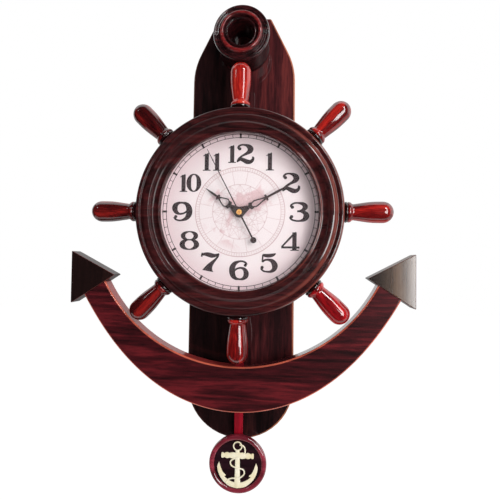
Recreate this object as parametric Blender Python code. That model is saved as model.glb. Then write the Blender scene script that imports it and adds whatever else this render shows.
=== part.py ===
# Ship wheel wall clock: an anchor of lacquered wood that carries a ship's wheel with a quartz clock
# in it, and a pendulum that swings between the anchor's shank and its arms.
# Metres, +Z up, the front faces -Y. The wall is the plane y = 0. The origin is the hanging point on
# the back of the shank, and the wheel's axis is parallel to Y, wheel_drop below it.

from math import atan2, cos, degrees, hypot, pi, radians, sin

import bmesh
import bpy
from mathutils import Matrix, Vector


# Fits
seat_gap = 0.0003          # between two pieces that seat on each other
running_gap = 0.0001       # radial clearance of a shaft in its bore
cut_overrun = 0.004        # how far a cutter passes the surface it opens
weld_distance = 0.000001   # below this two mesh points are one

# Where the clock hangs
nail_under_ring = 0.0655

# Shank, the tall back board
shank_thickness = 0.015
shank_top_half = 0.0415
shank_top_over_ring = 0.0465
shank_shoulder_half = 0.079
shank_shoulder_under_ring = 0.0285
shank_shoulder_round = 0.100
shank_top_round = 0.004
shank_foot_half = 0.081
shank_foot_under_arm_edge = 0.0365
shank_edge_round = 0.0025
service_hole_below = 0.006
service_hole_step = 0.004

# Hanger plate, let in flush at the back of the shank
hanger_width = 0.046
hanger_height = 0.020
hanger_thickness = 0.0015
hanger_corner = 0.004
hanger_above_origin = 0.018
keyhole_head_radius = 0.0042
keyhole_slot_half = 0.0021
keyhole_rise = 0.0065
keyhole_pocket_depth = 0.007

# Anchor ring on top of the shank
ring_radius = 0.0411
ring_clear_of_handle = 0.0030
ring_length = 0.0547
ring_bore_radius = 0.0187

# Wheel hub, the short drum between the shank and the wheel
hub_length = 0.020
hub_step = 0.004
hub_wall = 0.013
hub_slot_half = 0.0135

# Back plate of the wheel
back_plate_thickness = 0.009
back_plate_set_in = 0.0095
hole_clear_of_drive = 0.0032

# Wheel rim
rim_wall = 0.0287
rim_thickness = 0.034
rim_lip = 0.0062
rim_bead_height = 0.0066
rim_back_round = 0.002

# Handles
handle_count = 8
handle_axis_from_back = 0.0161
handle_length = 0.0672
handle_belly_radius = 0.0150
handle_neck_radius = 0.0117
handle_collar_radius = 0.0146
handle_collar_length = 0.0118
handle_root_gap = 0.0007
tenon_radius = 0.0050
tenon_length = 0.0120
tenon_end_gap = 0.0006

# Dial stack inside the rim, from the back to the glass
backing_thickness = 0.004
dial_thickness = 0.0008
dial_radius = 0.1190
stack_radial_gap = 0.0008
spacer_length = 0.0125
spacer_front_wall = 0.0044
spacer_back_wall = 0.0026
glass_thickness = 0.002

# Crescent, the anchor's arms
arm_clear_of_handle = 0.0056
arm_width_middle = 0.065
arm_width_end = 0.0378
arm_taper_angle = radians(60.0)
arm_cut_angle = radians(67.0)
arm_thickness = 0.025
arm_edge_round = 0.003
spacer_block_thickness = 0.0164
spacer_block_width = 0.030
spacer_block_height = 0.040
spacer_block_offset = 0.052
spacer_block_edge = 0.002

# Flukes, the points of the arms
fluke_angle = radians(63.05)
fluke_overhang = 0.0175
fluke_width = 0.0662
fluke_rise = 0.0354
fluke_drop = 0.0433
fluke_proud = 0.0015
fluke_edge_round = 0.0015

# Quartz movement case
case_depth = 0.016
case_wall = 0.0012
case_corner = 0.003
gasket_thickness = 0.0008
gasket_radius = 0.013
cover_thickness = 0.0012
bush_radius = 0.0040
nut_thickness = 0.0022
nut_flat_half = 0.0060
thread_spare = 0.0006
battery_radius = 0.00725
battery_length = 0.0492
battery_nub_radius = 0.0026
battery_nub_length = 0.0012
battery_side_gap = 0.0004
battery_end_room = 0.0022
bridge_wall_gap = 0.0004
contact_thickness = 0.0004
contact_width = 0.009

# Arbors and tubes of the train
second_arbor_radius = 0.0005
minute_tube_wall = 0.0006
hour_tube_wall = 0.0007
train_arbor_radius = 0.0004
stud_radius = 0.0005
stud_sleeve_wall = 0.0003
setting_shaft_radius = 0.0010
knob_radius = 0.0055
knob_thickness = 0.0030
knob_flutes = 12

# Train wheels: tooth counts and where the arbors stand around the wheel's axis
wheel_face = 0.0008
layer_gap = 0.0006
wheel_clear_of_floor = 0.0004
pivot_depth = 0.0006
third_distance = 0.0090
third_angle = radians(150.0)
fifth_distance = 0.0090
fifth_angle = radians(60.0)
motion_distance = 0.0080
motion_angle = radians(-20.0)
rotor_distance = 0.0063
rotor_angle = radians(45.0)
setting_distance = 0.0085
setting_angle = radians(-5.0)
centre_teeth = 48
third_pinion_leaves = 6
third_teeth = 45
second_pinion_leaves = 6
second_teeth = 30
fifth_pinion_leaves = 6
fifth_teeth = 36
rotor_pinion_leaves = 6
cannon_leaves = 8
motion_teeth = 24
motion_pinion_leaves = 7
hour_teeth = 28
setting_leaves = 10

# Motor
rotor_magnet_radius = 0.0034
rotor_magnet_length = 0.0022
stator_thickness = 0.0008
stator_air_gap = 0.0008
stator_yoke_radius = 0.0054
stator_left = 0.014
stator_side_gap = 0.0013
stator_top_gap = 0.0028
stator_bar_below_rotor = 0.0026
stator_bar_above_rotor = 0.0028
stator_top = 0.0240
stator_leg_width = 0.0040
coil_radius = 0.0024
coil_end_gap = 0.0030
coil_core_height = 0.0024
bridge_thickness = 0.0008
bridge_left = 0.0172
bridge_right = 0.0190
bridge_top = 0.0155
bridge_bottom = 0.0099
bridge_corner = 0.002
pillar_radius = 0.0012
board_width = 0.0064
board_height = 0.030
board_sheet = 0.0008
crystal_radius = 0.0010
crystal_length = 0.0060

# Hands
hand_sheet = 0.0006
hand_pitch = 0.0021
hand_first_gap = 0.0009
hand_hub_radius = 0.0077
hand_wire = 0.0024
shown_hour = 10
shown_minute = 10.2
shown_second = 55.4
minute_length = 0.0850
minute_knot = 0.0188
minute_knot_half = 0.0052
minute_loop_half = 0.0053
minute_collar = 0.0441
minute_collar_half = 0.0046
hour_length = 0.0605
hour_knot = 0.0188
hour_knot_half = 0.0056
hour_loop_half = 0.0069
hour_collar = 0.0385
hour_collar_half = 0.0042
spear_half = 0.0016
tip_half = 0.0004
neck_half = 0.0022
second_tip_gap = 0.0092
second_bead_at = 0.0850
second_bead_radius = 0.0011
second_blade_half = 0.0009
second_tip_half = 0.0004
second_tail = 0.0453
second_tail_half = 0.0012
second_weight_radius = 0.0045
second_hub_radius = 0.0030
cap_radius = 0.0040
cap_height = 0.0015

# Pendulum drive under the movement
drive_width = 0.036
drive_height = 0.0256
pivot_under_case = 0.0050
pivot_radius = 0.0015
pivot_spare = 0.0012
hanger_arm_width = 0.008
hanger_arm_thickness = 0.0025
hanger_eye_radius = 0.0042
hanger_arm_behind_case = 0.0015
drive_coil_radius = 0.0060
drive_coil_bore = 0.0022
drive_coil_length = 0.009
drive_coil_above_floor = 0.0030
magnet_radius = 0.0040
magnet_thickness = 0.0020
magnet_below_pivot = 0.0135
peg_radius = 0.0015
peg_below_pivot = 0.0250
peg_length = 0.0050
hook_width = 0.0070
hook_sheet = 0.0010
hook_overlap = 0.0120
rod_width = 0.0126
rod_thickness = 0.0048
rod_below_peg = 0.0050
rod_edge = 0.0008

# Bob
bob_clear_of_arms = 0.0396
bob_radius = 0.0424
bob_thickness = 0.0100
bob_rim_width = 0.0074
bob_recess = 0.0036
inlay_thickness = 0.0012
emblem_thickness = 0.0014
emblem_ring_radius = 0.0066
emblem_wire = 0.0017
emblem_ring_above = 0.0270
emblem_stock_half = 0.0240
emblem_stock_above = 0.0150
emblem_stock_height = 0.0060
emblem_shank_half = 0.0042
emblem_arm_radius = 0.0270
emblem_arm_width = 0.0080
emblem_arm_centre_above = -0.0055
emblem_arm_angle = radians(78.0)
emblem_relief_step = 0.0003

# How finely curves are cut
rim_steps = 40
ring_steps = 26
handle_steps = 10
disc_steps = 32
small_steps = 16
arbor_steps = 8
corner_steps = 4
arm_steps = 18
fillet_steps = 2


# Movement case, around the train, the battery and the motor
battery_below = bridge_bottom + bridge_wall_gap + case_wall + battery_side_gap + battery_radius
case_low = battery_below + battery_radius + battery_side_gap + case_wall
case_high = stator_top + stator_top_gap + case_wall
case_half = battery_length / 2 + battery_end_room + case_wall
stator_right = case_half - case_wall - stator_side_gap
pivot_below = case_low + pivot_under_case
back_plate_hole_radius = hypot(drive_width / 2, case_low + seat_gap + drive_height) + hole_clear_of_drive

# Radii and places in the X-Z plane, each worked out from its neighbour towards the dial
rim_radius = dial_radius + stack_radial_gap + rim_wall
rim_opening_radius = dial_radius - rim_lip
second_length = rim_opening_radius - second_tip_gap
back_plate_radius = rim_radius - back_plate_set_in
hub_inner_radius = back_plate_hole_radius + hub_step
hub_radius = hub_inner_radius + hub_wall
service_hole_radius = back_plate_hole_radius - service_hole_step
handle_root = rim_radius + handle_root_gap
handle_tip_reach = handle_root + handle_length
arm_inner_radius = handle_tip_reach + arm_clear_of_handle
ring_above = handle_tip_reach + ring_clear_of_handle + ring_radius
wheel_drop = ring_above - nail_under_ring
shank_top_above = ring_above + shank_top_over_ring
shank_shoulder_above = ring_above - shank_shoulder_under_ring
shank_foot_below = arm_inner_radius + shank_foot_under_arm_edge
bob_below = arm_inner_radius + arm_width_middle + bob_clear_of_arms + bob_radius
fluke_apex_out = (arm_inner_radius - fluke_overhang) * sin(fluke_angle)
fluke_apex_below = (arm_inner_radius - fluke_overhang) * cos(fluke_angle)

# Depths along Y, each worked out from the piece behind it
shank_front = -shank_thickness
hub_back = shank_front - seat_gap
hub_front = hub_back - hub_length
plate_back = hub_front - seat_gap
plate_front = plate_back - back_plate_thickness
rim_back = plate_front - seat_gap
rim_front = rim_back - rim_thickness
handle_depth = rim_back - handle_axis_from_back
backing_back = plate_front - seat_gap
backing_front = backing_back - backing_thickness
dial_back = backing_front - seat_gap
dial_front = dial_back - dial_thickness
spacer_back = dial_front - seat_gap
spacer_front = spacer_back - spacer_length
glass_back = spacer_front - seat_gap
glass_front = glass_back - glass_thickness
rim_shoulder = glass_front - seat_gap
block_back = shank_front - seat_gap
block_front = block_back - spacer_block_thickness
arm_back = block_front - seat_gap
arm_front = arm_back - arm_thickness
fluke_front = arm_front - fluke_proud
gasket_front = backing_back + seat_gap
gasket_back = gasket_front + gasket_thickness
case_front = gasket_back + seat_gap
case_floor = case_front + case_wall
case_back = case_front + case_depth
cover_front = case_back - cover_thickness
walls_back = cover_front - seat_gap
nut_back = dial_front - seat_gap
nut_front = nut_back - nut_thickness
bush_front = nut_front - thread_spare
hour_hand_back = bush_front - hand_first_gap
minute_hand_back = hour_hand_back - hand_pitch
second_hand_back = minute_hand_back - hand_pitch
cap_back = second_hand_back - hand_sheet - seat_gap

# Radii of the nested tubes, from the second arbor out
minute_tube_bore = second_arbor_radius + running_gap
minute_tube_radius = minute_tube_bore + minute_tube_wall
hour_tube_bore = minute_tube_radius + running_gap
hour_tube_radius = hour_tube_bore + hour_tube_wall
bush_bore = hour_tube_radius + running_gap

# Layers of the train, as depths behind the case floor
pivot_end = case_floor - pivot_depth
hour_layer = case_floor + wheel_clear_of_floor
motion_layer = hour_layer + wheel_face + layer_gap
centre_layer = motion_layer + wheel_face + layer_gap
third_layer = centre_layer + wheel_face + layer_gap
second_layer = third_layer + wheel_face + layer_gap
fifth_layer = second_layer + wheel_face + layer_gap
magnet_layer = fifth_layer + wheel_face + layer_gap
bridge_layer = magnet_layer + rotor_magnet_length + layer_gap
arbor_back = bridge_layer + bridge_thickness + seat_gap
stator_layer = magnet_layer + (rotor_magnet_length - stator_thickness) / 2

wheel_centre = Vector((0, 0, -wheel_drop))


def polar(distance, angle):
    """Point of the X-Z plane at an angle counted from +X towards +Z."""
    return (distance * cos(angle), distance * sin(angle))


def bore_circumradius(radius, steps):
    """Circumradius of a polygon whose flats still clear a circle of this radius."""
    return radius / cos(pi / steps)


def circle(radius, steps, centre=(0, 0)):
    cx, cz = centre
    return [(cx + radius * cos(2 * pi * i / steps), cz + radius * sin(2 * pi * i / steps))
            for i in range(steps)]


def arc(centre, radius, start, end, steps):
    cx, cz = centre
    return [(cx + radius * cos(start + (end - start) * i / steps),
             cz + radius * sin(start + (end - start) * i / steps)) for i in range(steps + 1)]


def rounded(corners, steps):
    """Closed outline through corners of (x, z, radius), each corner turned with an arc."""
    outline = []
    count = len(corners)
    for i, (x, z, radius) in enumerate(corners):
        before = corners[i - 1]
        after = corners[(i + 1) % count]
        here = Vector((x, z))
        to_before = (Vector(before[:2]) - here).normalized()
        to_after = (Vector(after[:2]) - here).normalized()
        if radius == 0:
            outline.append((x, z))
            continue
        half = to_before.angle(to_after) / 2
        bisector = (to_before + to_after).normalized()
        middle = here + bisector * (radius / sin(half))
        first = here + to_before * (radius * cos(half) / sin(half)) - middle
        last = here + to_after * (radius * cos(half) / sin(half)) - middle
        start = atan2(first.y, first.x)
        sweep = (atan2(last.y, last.x) - start + pi) % (2 * pi) - pi
        outline += arc(middle, radius, start, start + sweep, steps)
    return outline


def rounded_box(width, height, radius, centre=(0, 0), steps=corner_steps):
    cx, cz = centre
    w, h = width / 2, height / 2
    corners = [(cx - w, cz - h, radius), (cx + w, cz - h, radius),
               (cx + w, cz + h, radius), (cx - w, cz + h, radius)]
    return rounded(corners, steps)


def box(left, right, bottom, top):
    return [(left, bottom), (right, bottom), (right, top), (left, top)]


def mirrored(points):
    return [(-x, z) for x, z in reversed(points)]


def material(name, finish):
    colour, roughness, metallic = finish
    made = bpy.data.materials.new(name)
    made.use_nodes = True
    shader = made.node_tree.nodes["Principled BSDF"]
    shader.inputs["Base Color"].default_value = (*colour, 1.0)
    shader.inputs["Roughness"].default_value = roughness
    shader.inputs["Metallic"].default_value = metallic
    return made


# Finishes: colour, roughness and metallic value
lacquer = ((0.115, 0.022, 0.022), 0.16, 0.0)
red_lacquer = ((0.42, 0.018, 0.018), 0.14, 0.0)
dark_lacquer = ((0.020, 0.009, 0.009), 0.14, 0.0)
dial_white = ((0.78, 0.70, 0.71), 0.45, 0.0)
clear_glass = ((0.92, 0.95, 0.95), 0.03, 0.0)
hand_brown = ((0.045, 0.012, 0.014), 0.32, 0.4)
brass = ((0.80, 0.47, 0.16), 0.28, 1.0)
pale_gold = ((0.84, 0.74, 0.50), 0.34, 0.8)
black_plastic = ((0.018, 0.018, 0.020), 0.42, 0.0)
white_plastic = ((0.72, 0.71, 0.67), 0.40, 0.0)
steel = ((0.62, 0.62, 0.63), 0.30, 1.0)
copper = ((0.62, 0.26, 0.12), 0.38, 0.9)
rubber = ((0.022, 0.022, 0.022), 0.75, 0.0)
hardboard = ((0.26, 0.16, 0.09), 0.75, 0.0)
circuit_green = ((0.03, 0.16, 0.06), 0.45, 0.0)
battery_jacket = ((0.10, 0.11, 0.13), 0.35, 0.2)


def place(name, mesh_edit, finish, location=(0, 0, 0), turn=0.0):
    """Turns a finished bmesh into a named object, turned about Y by an angle."""
    bmesh.ops.remove_doubles(mesh_edit, verts=mesh_edit.verts, dist=weld_distance)
    bmesh.ops.recalc_face_normals(mesh_edit, faces=mesh_edit.faces)
    mesh = bpy.data.meshes.new(name)
    mesh_edit.to_mesh(mesh)
    mesh_edit.free()
    made = bpy.data.objects.new(name, mesh)
    bpy.context.scene.collection.objects.link(made)
    made.location = location
    made.rotation_euler = (0, turn, 0)
    made.data.materials.append(material(name, finish))
    smooth(made)
    return made


def smooth(made, sharp_angle=radians(32)):
    made.data.shade_smooth()
    made.data.set_sharp_from_angle(angle=sharp_angle)


def turned(profile, steps):
    """Closed solid of revolution about Y. The profile is a loop of (radius, y)."""
    edit = bmesh.new()
    points = [edit.verts.new((radius, y, 0)) for radius, y in profile]
    edges = [edit.edges.new((points[i], points[(i + 1) % len(points)])) for i in range(len(points))
             if points[i].co.x > 0 or points[(i + 1) % len(points)].co.x > 0]
    bmesh.ops.spin(edit, geom=points + edges, cent=(0, 0, 0), axis=(0, 1, 0),
                   angle=2 * pi, steps=steps, use_merge=True)
    return edit


def flat_loop(edit, outline, y):
    points = [edit.verts.new((x, y, z)) for x, z in outline]
    edges = [edit.edges.new((points[i], points[(i + 1) % len(points)])) for i in range(len(points))]
    return points, edges


def sheet(outline, holes, front, back, edge_round=0.0):
    """Flat piece between two depths, with through holes and an optional rounded front edge."""
    edit = bmesh.new()
    points, edges = flat_loop(edit, outline, front)
    if holes:
        for hole in holes:
            edges += flat_loop(edit, hole, front)[1]
        bmesh.ops.triangle_fill(edit, edges=edges, use_beauty=True, normal=(0, -1, 0))
    else:
        edit.faces.new(points)
    pushed = bmesh.ops.extrude_face_region(edit, geom=edit.faces[:], use_keep_orig=True)
    moved = [item for item in pushed["geom"] if isinstance(item, bmesh.types.BMVert)]
    bmesh.ops.translate(edit, verts=moved, vec=(0, back - front, 0))
    bmesh.ops.recalc_face_normals(edit, faces=edit.faces[:])
    if edge_round > 0:
        rim = set(points)
        outer = [edge for edge in edit.edges if edge.verts[0] in rim and edge.verts[1] in rim
                 and edge.is_manifold and edge.calc_face_angle() > radians(45)]
        bmesh.ops.bevel(edit, geom=outer, offset=edge_round, segments=fillet_steps,
                        profile=0.5, affect="EDGES", clamp_overlap=True)
    return edit


def stepped(sections, bore=None):
    """Coaxial solid made of (outline, front, back) sections that follow each other along Y."""
    edit = bmesh.new()
    loops = []
    for outline, front, back in sections:
        near, near_edges = flat_loop(edit, outline, front)
        far, far_edges = flat_loop(edit, outline, back)
        for i in range(len(outline)):
            j = (i + 1) % len(outline)
            edit.faces.new((near[i], near[j], far[j], far[i]))
        loops.append((near_edges, far_edges))
    ends = [[], []]
    if bore:
        near, ends[0] = flat_loop(edit, bore, sections[0][1])
        far, ends[1] = flat_loop(edit, bore, sections[-1][2])
        for i in range(len(bore)):
            j = (i + 1) % len(bore)
            edit.faces.new((near[i], near[j], far[j], far[i]))
    bmesh.ops.triangle_fill(edit, edges=loops[0][0] + ends[0], use_beauty=True, normal=(0, 1, 0))
    for this, following in zip(loops, loops[1:]):
        bmesh.ops.triangle_fill(edit, edges=this[1] + following[0], use_beauty=True, normal=(0, 1, 0))
    bmesh.ops.triangle_fill(edit, edges=loops[-1][1] + ends[1], use_beauty=True, normal=(0, 1, 0))
    return edit


def with_tool(made, tool, operation):
    """Adds a Boolean with a hidden tool object, which is left out of the model."""
    tool.hide_render = True
    tool.display_type = "WIRE"
    step = made.modifiers.new(operation.lower(), "BOOLEAN")
    step.operation = operation
    step.solver = "EXACT"
    step.object = tool
    return made


# Wood: shank, ring, arms and flukes

def make_shank():
    foot = arc((0, -shank_foot_below), shank_foot_half, pi, 2 * pi, 6 * corner_steps)
    corners = [(x, z, 0) for x, z in foot]
    corners += [(shank_shoulder_half, shank_shoulder_above, shank_shoulder_round),
                (shank_top_half, shank_top_above, shank_top_round),
                (-shank_top_half, shank_top_above, shank_top_round),
                (-shank_shoulder_half, shank_shoulder_above, shank_shoulder_round)]
    outline = rounded(corners, corner_steps + 1)
    shank = place("shank_board", sheet(outline, [], shank_front, 0, shank_edge_round),
                  lacquer, wheel_centre)
    hole = circle(service_hole_radius, disc_steps, (0, -service_hole_below))
    with_tool(shank, place("service_hole_tool", sheet(hole, [], shank_front - cut_overrun, cut_overrun),
                           lacquer, wheel_centre), "DIFFERENCE")
    recess = rounded_box(hanger_width + 2 * seat_gap, hanger_height + 2 * seat_gap,
                         hanger_corner + seat_gap, (0, hanger_above_origin))
    with_tool(shank, place("hanger_recess_tool",
                           sheet(recess, [], -hanger_thickness - seat_gap, cut_overrun), lacquer),
              "DIFFERENCE")
    pocket = rounded_box(2 * keyhole_head_radius + hanger_corner, keyhole_rise + 2 * keyhole_head_radius,
                         keyhole_head_radius, (0, hanger_above_origin))
    with_tool(shank, place("nail_pocket_tool", sheet(pocket, [], -keyhole_pocket_depth, cut_overrun),
                           lacquer), "DIFFERENCE")
    return shank


def make_hanger_plate():
    low = hanger_above_origin - keyhole_rise / 2
    high = hanger_above_origin + keyhole_rise / 2
    lean = (keyhole_head_radius ** 2 - keyhole_slot_half ** 2) ** 0.5
    half_angle = atan2(keyhole_slot_half, lean)
    keyhole = arc((0, low), keyhole_head_radius, pi / 2 + half_angle,
                  5 * pi / 2 - half_angle, 3 * corner_steps)
    keyhole += arc((0, high), keyhole_slot_half, 0, pi, corner_steps)
    outline = rounded_box(hanger_width, hanger_height, hanger_corner, (0, hanger_above_origin))
    return place("hanger_plate", sheet(outline, [keyhole], -hanger_thickness, 0), steel)


# Radius of the anchor ring's turned face as shares of its radius, and depth as shares of its length
ring_face_shares = [(0.945, 0.00), (0.915, 0.08), (0.915, 0.64), (0.980, 0.75), (1.000, 0.83),
                    (0.960, 0.90), (0.880, 0.88), (0.790, 0.90), (0.730, 0.97), (0.665, 1.00),
                    (0.610, 0.96), (0.570, 0.88), (0.520, 0.93), (0.480, 0.92)]


def make_anchor_ring():
    back = shank_front - seat_gap
    profile = [(ring_bore_radius, back)]
    profile += [(ring_radius * out, back - ring_length * forward) for out, forward in ring_face_shares]
    profile.append((ring_bore_radius, back - ring_length * ring_face_shares[-1][1]))
    return place("anchor_ring", turned(profile, ring_steps), lacquer,
                 wheel_centre + Vector((0, 0, ring_above)))


def arm_width(angle):
    """Width of the crescent at an angle from straight down, widest in the middle."""
    blend = (1 + cos(pi * min(angle, arm_taper_angle) / arm_taper_angle)) / 2
    return arm_width_end + (arm_width_middle - arm_width_end) * blend


def crescent_outline():
    inner = []
    outer = []
    for i in range(-arm_steps, arm_steps + 1):
        angle = arm_cut_angle * i / arm_steps
        down = angle - pi / 2
        inner.append(polar(arm_inner_radius, down))
        outer.append(polar(arm_inner_radius + arm_width(abs(angle)), down))
    return inner + outer[::-1]


def fluke_corners(side):
    outside = side * (fluke_apex_out + fluke_width)
    return [(side * fluke_apex_out, -fluke_apex_below), (outside, -fluke_apex_below - fluke_drop),
            (outside, -fluke_apex_below + fluke_rise)]


def fluke_seat(side):
    """Outline that trims an arm along the lower edge of its fluke, seat_gap away from it."""
    apex, bottom, _ = [Vector(corner) for corner in fluke_corners(side)]
    along = (bottom - apex).normalized()
    up = Vector((0, 1)) - along * along.y
    up.normalize()
    reach = arm_inner_radius
    start = apex - along * reach - up * seat_gap
    end = bottom + along * reach - up * seat_gap
    return [tuple(start), tuple(end), tuple(end + up * reach), tuple(start + up * reach)]


def make_crescent():
    crescent = place("anchor_crescent",
                     sheet(crescent_outline(), [], arm_front, arm_back, arm_edge_round),
                     lacquer, wheel_centre)
    for side, word in ((-1, "left"), (1, "right")):
        seat = sheet(fluke_seat(side), [], arm_front - cut_overrun, arm_back + cut_overrun)
        with_tool(crescent, place("fluke_seat_tool_" + word, seat, lacquer, wheel_centre),
                  "DIFFERENCE")
    return crescent


def make_flukes():
    for side, word in ((-1, "left"), (1, "right")):
        corners = [(x, z, fluke_edge_round / 2) for x, z in fluke_corners(side)]
        place("fluke_" + word, sheet(rounded(corners, 1), [], fluke_front, arm_back, fluke_edge_round),
              dark_lacquer, wheel_centre)


def make_crescent_blocks():
    middle_below = arm_inner_radius + arm_width_middle / 2
    for side, word in ((-1, "left"), (1, "right")):
        outline = rounded_box(spacer_block_width, spacer_block_height, spacer_block_edge,
                              (side * spacer_block_offset, -middle_below + spacer_block_edge))
        place("crescent_block_" + word, sheet(outline, [], block_front, block_back),
              hardboard, wheel_centre)


# Wheel: hub drum, back plate, rim and handles

def make_hub():
    inner_open = atan2(hub_slot_half, hub_inner_radius)
    outer_open = atan2(hub_slot_half, hub_radius)
    outline = arc((0, 0), hub_radius, outer_open - pi / 2, 3 * pi / 2 - outer_open, disc_steps)
    outline += arc((0, 0), hub_inner_radius, 3 * pi / 2 - inner_open, inner_open - pi / 2, disc_steps)
    return place("wheel_hub", sheet(outline, [], hub_front, hub_back), dark_lacquer, wheel_centre)


def make_back_plate():
    outline = circle(back_plate_radius, disc_steps)
    hole = circle(back_plate_hole_radius, disc_steps)
    return place("wheel_back_plate", sheet(outline, [hole], plate_front, plate_back),
                 dark_lacquer, wheel_centre)


# The rim's moulded face, from the opening out: shares of the face's width and of the bead height
rim_face_shares = [(0.000, 0.00), (0.030, 0.28), (0.090, 0.28), (0.130, 0.08), (0.250, 0.06),
                   (0.340, 0.42), (0.430, 0.88), (0.530, 1.00), (0.630, 0.88), (0.740, 0.34),
                   (0.820, 0.54), (0.910, 0.60), (1.000, -0.05)]


def make_rim():
    face_width = rim_radius - rim_opening_radius
    face_floor = rim_front + rim_bead_height
    stack_radius = dial_radius + stack_radial_gap
    profile = [(stack_radius, rim_back), (stack_radius, rim_shoulder),
               (rim_opening_radius, rim_shoulder)]
    profile += [(rim_opening_radius + face_width * across, face_floor - rim_bead_height * rise)
                for across, rise in rim_face_shares]
    profile += [(rim_radius, rim_back - rim_back_round), (rim_radius - rim_back_round, rim_back)]
    rim = place("wheel_rim", turned(profile, rim_steps), lacquer, wheel_centre)
    reach = handle_root - tenon_length - tenon_end_gap
    socket = circle(bore_circumradius(tenon_radius + seat_gap, handle_steps), handle_steps)
    cutter = bmesh.new()
    for k in range(handle_count):
        one = stepped([(socket, reach, rim_radius + cut_overrun)])
        stand_out(one, k)
        piece = bpy.data.meshes.new("socket_piece")
        one.to_mesh(piece)
        one.free()
        cutter.from_mesh(piece)
        bpy.data.meshes.remove(piece)
    return with_tool(rim, place("handle_socket_tool", cutter, lacquer, wheel_centre), "DIFFERENCE")


def stand_out(edit, k):
    """Turns a piece modelled along Y so that it points out from the wheel's axis, handle k."""
    outward = Matrix.Rotation(radians(90), 4, "X")
    around = Matrix.Rotation(2 * pi * k / handle_count, 4, "Y")
    shift = Matrix.Translation((0, handle_depth, 0))
    bmesh.ops.transform(edit, matrix=shift @ around @ outward, verts=edit.verts)


# Radius of the turned collar as shares of its height over the neck, along shares of its length
handle_collar_shares = [(0.00, 0.45), (0.25, 0.93), (0.60, 0.93), (1.00, 0.00)]
# Swell of the grip from the neck to the belly, along shares of the length before the round tip
handle_grip_shares = [(0.22, 0.32), (0.42, 0.66), (0.66, 0.94), (1.00, 1.00)]
handle_names = ["top", "upper_right", "right", "lower_right", "bottom", "lower_left", "left", "upper_left"]


def make_handles():
    root = handle_root
    neck_at = root + handle_collar_length
    belly_at = handle_tip_reach - handle_belly_radius
    collar_rise = handle_collar_radius - handle_neck_radius
    grip_rise = handle_belly_radius - handle_neck_radius
    profile = [(0, root - tenon_length), (tenon_radius, root - tenon_length), (tenon_radius, root)]
    profile += [(handle_neck_radius + collar_rise * rise, root + handle_collar_length * along)
                for along, rise in handle_collar_shares]
    profile += [(handle_neck_radius + grip_rise * swell, neck_at + (belly_at - neck_at) * along)
                for along, swell in handle_grip_shares]
    tip = [(handle_belly_radius * cos(pi / 2 * i / corner_steps),
            belly_at + handle_belly_radius * sin(pi / 2 * i / corner_steps))
           for i in range(1, corner_steps)]
    profile += tip + [(0, handle_tip_reach)]
    for k, word in enumerate(handle_names):
        edit = turned(profile, handle_steps)
        stand_out(edit, k)
        place("handle_" + word, edit, red_lacquer, wheel_centre)


# Dial stack

def make_dial_stack():
    shaft_hole = circle(bore_circumradius(bush_radius + seat_gap, small_steps), small_steps)
    place("dial_backing", sheet(circle(dial_radius, rim_steps), [shaft_hole], backing_front, backing_back),
          hardboard, wheel_centre)
    place("dial_plate", sheet(circle(dial_radius, rim_steps), [shaft_hole], dial_front, dial_back),
          dial_white, wheel_centre)
    place("glass_lens", sheet(circle(dial_radius, rim_steps), [], glass_front, glass_back),
          clear_glass, wheel_centre)
    ring = [(dial_radius, spacer_back), (dial_radius, spacer_front),
            (dial_radius - spacer_front_wall, spacer_front),
            (dial_radius - spacer_back_wall, spacer_back)]
    place("dial_spacer_ring", turned(ring, rim_steps), dial_white, wheel_centre)


# Quartz movement

third_axis = polar(third_distance, third_angle)
fifth_axis = polar(fifth_distance, fifth_angle)
motion_axis = polar(motion_distance, motion_angle)
rotor_axis = tuple(a + b for a, b in zip(fifth_axis, polar(rotor_distance, rotor_angle)))
setting_axis = tuple(a + b for a, b in zip(motion_axis, polar(setting_distance, setting_angle)))
bay_top = -battery_below + battery_radius + battery_side_gap
leg_middle_height = rotor_axis[1] + (stator_top - rotor_axis[1]) / 2
bridge_pillars = [(-third_distance / 2, bay_top + case_wall + pillar_radius / 2),
                  (-stator_left, bay_top / 2),
                  (bridge_right - stator_leg_width, third_axis[1])]
stator_pillars = [(-stator_left + stator_leg_width / 2, leg_middle_height),
                  (stator_right - stator_leg_width / 2, leg_middle_height)]


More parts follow.
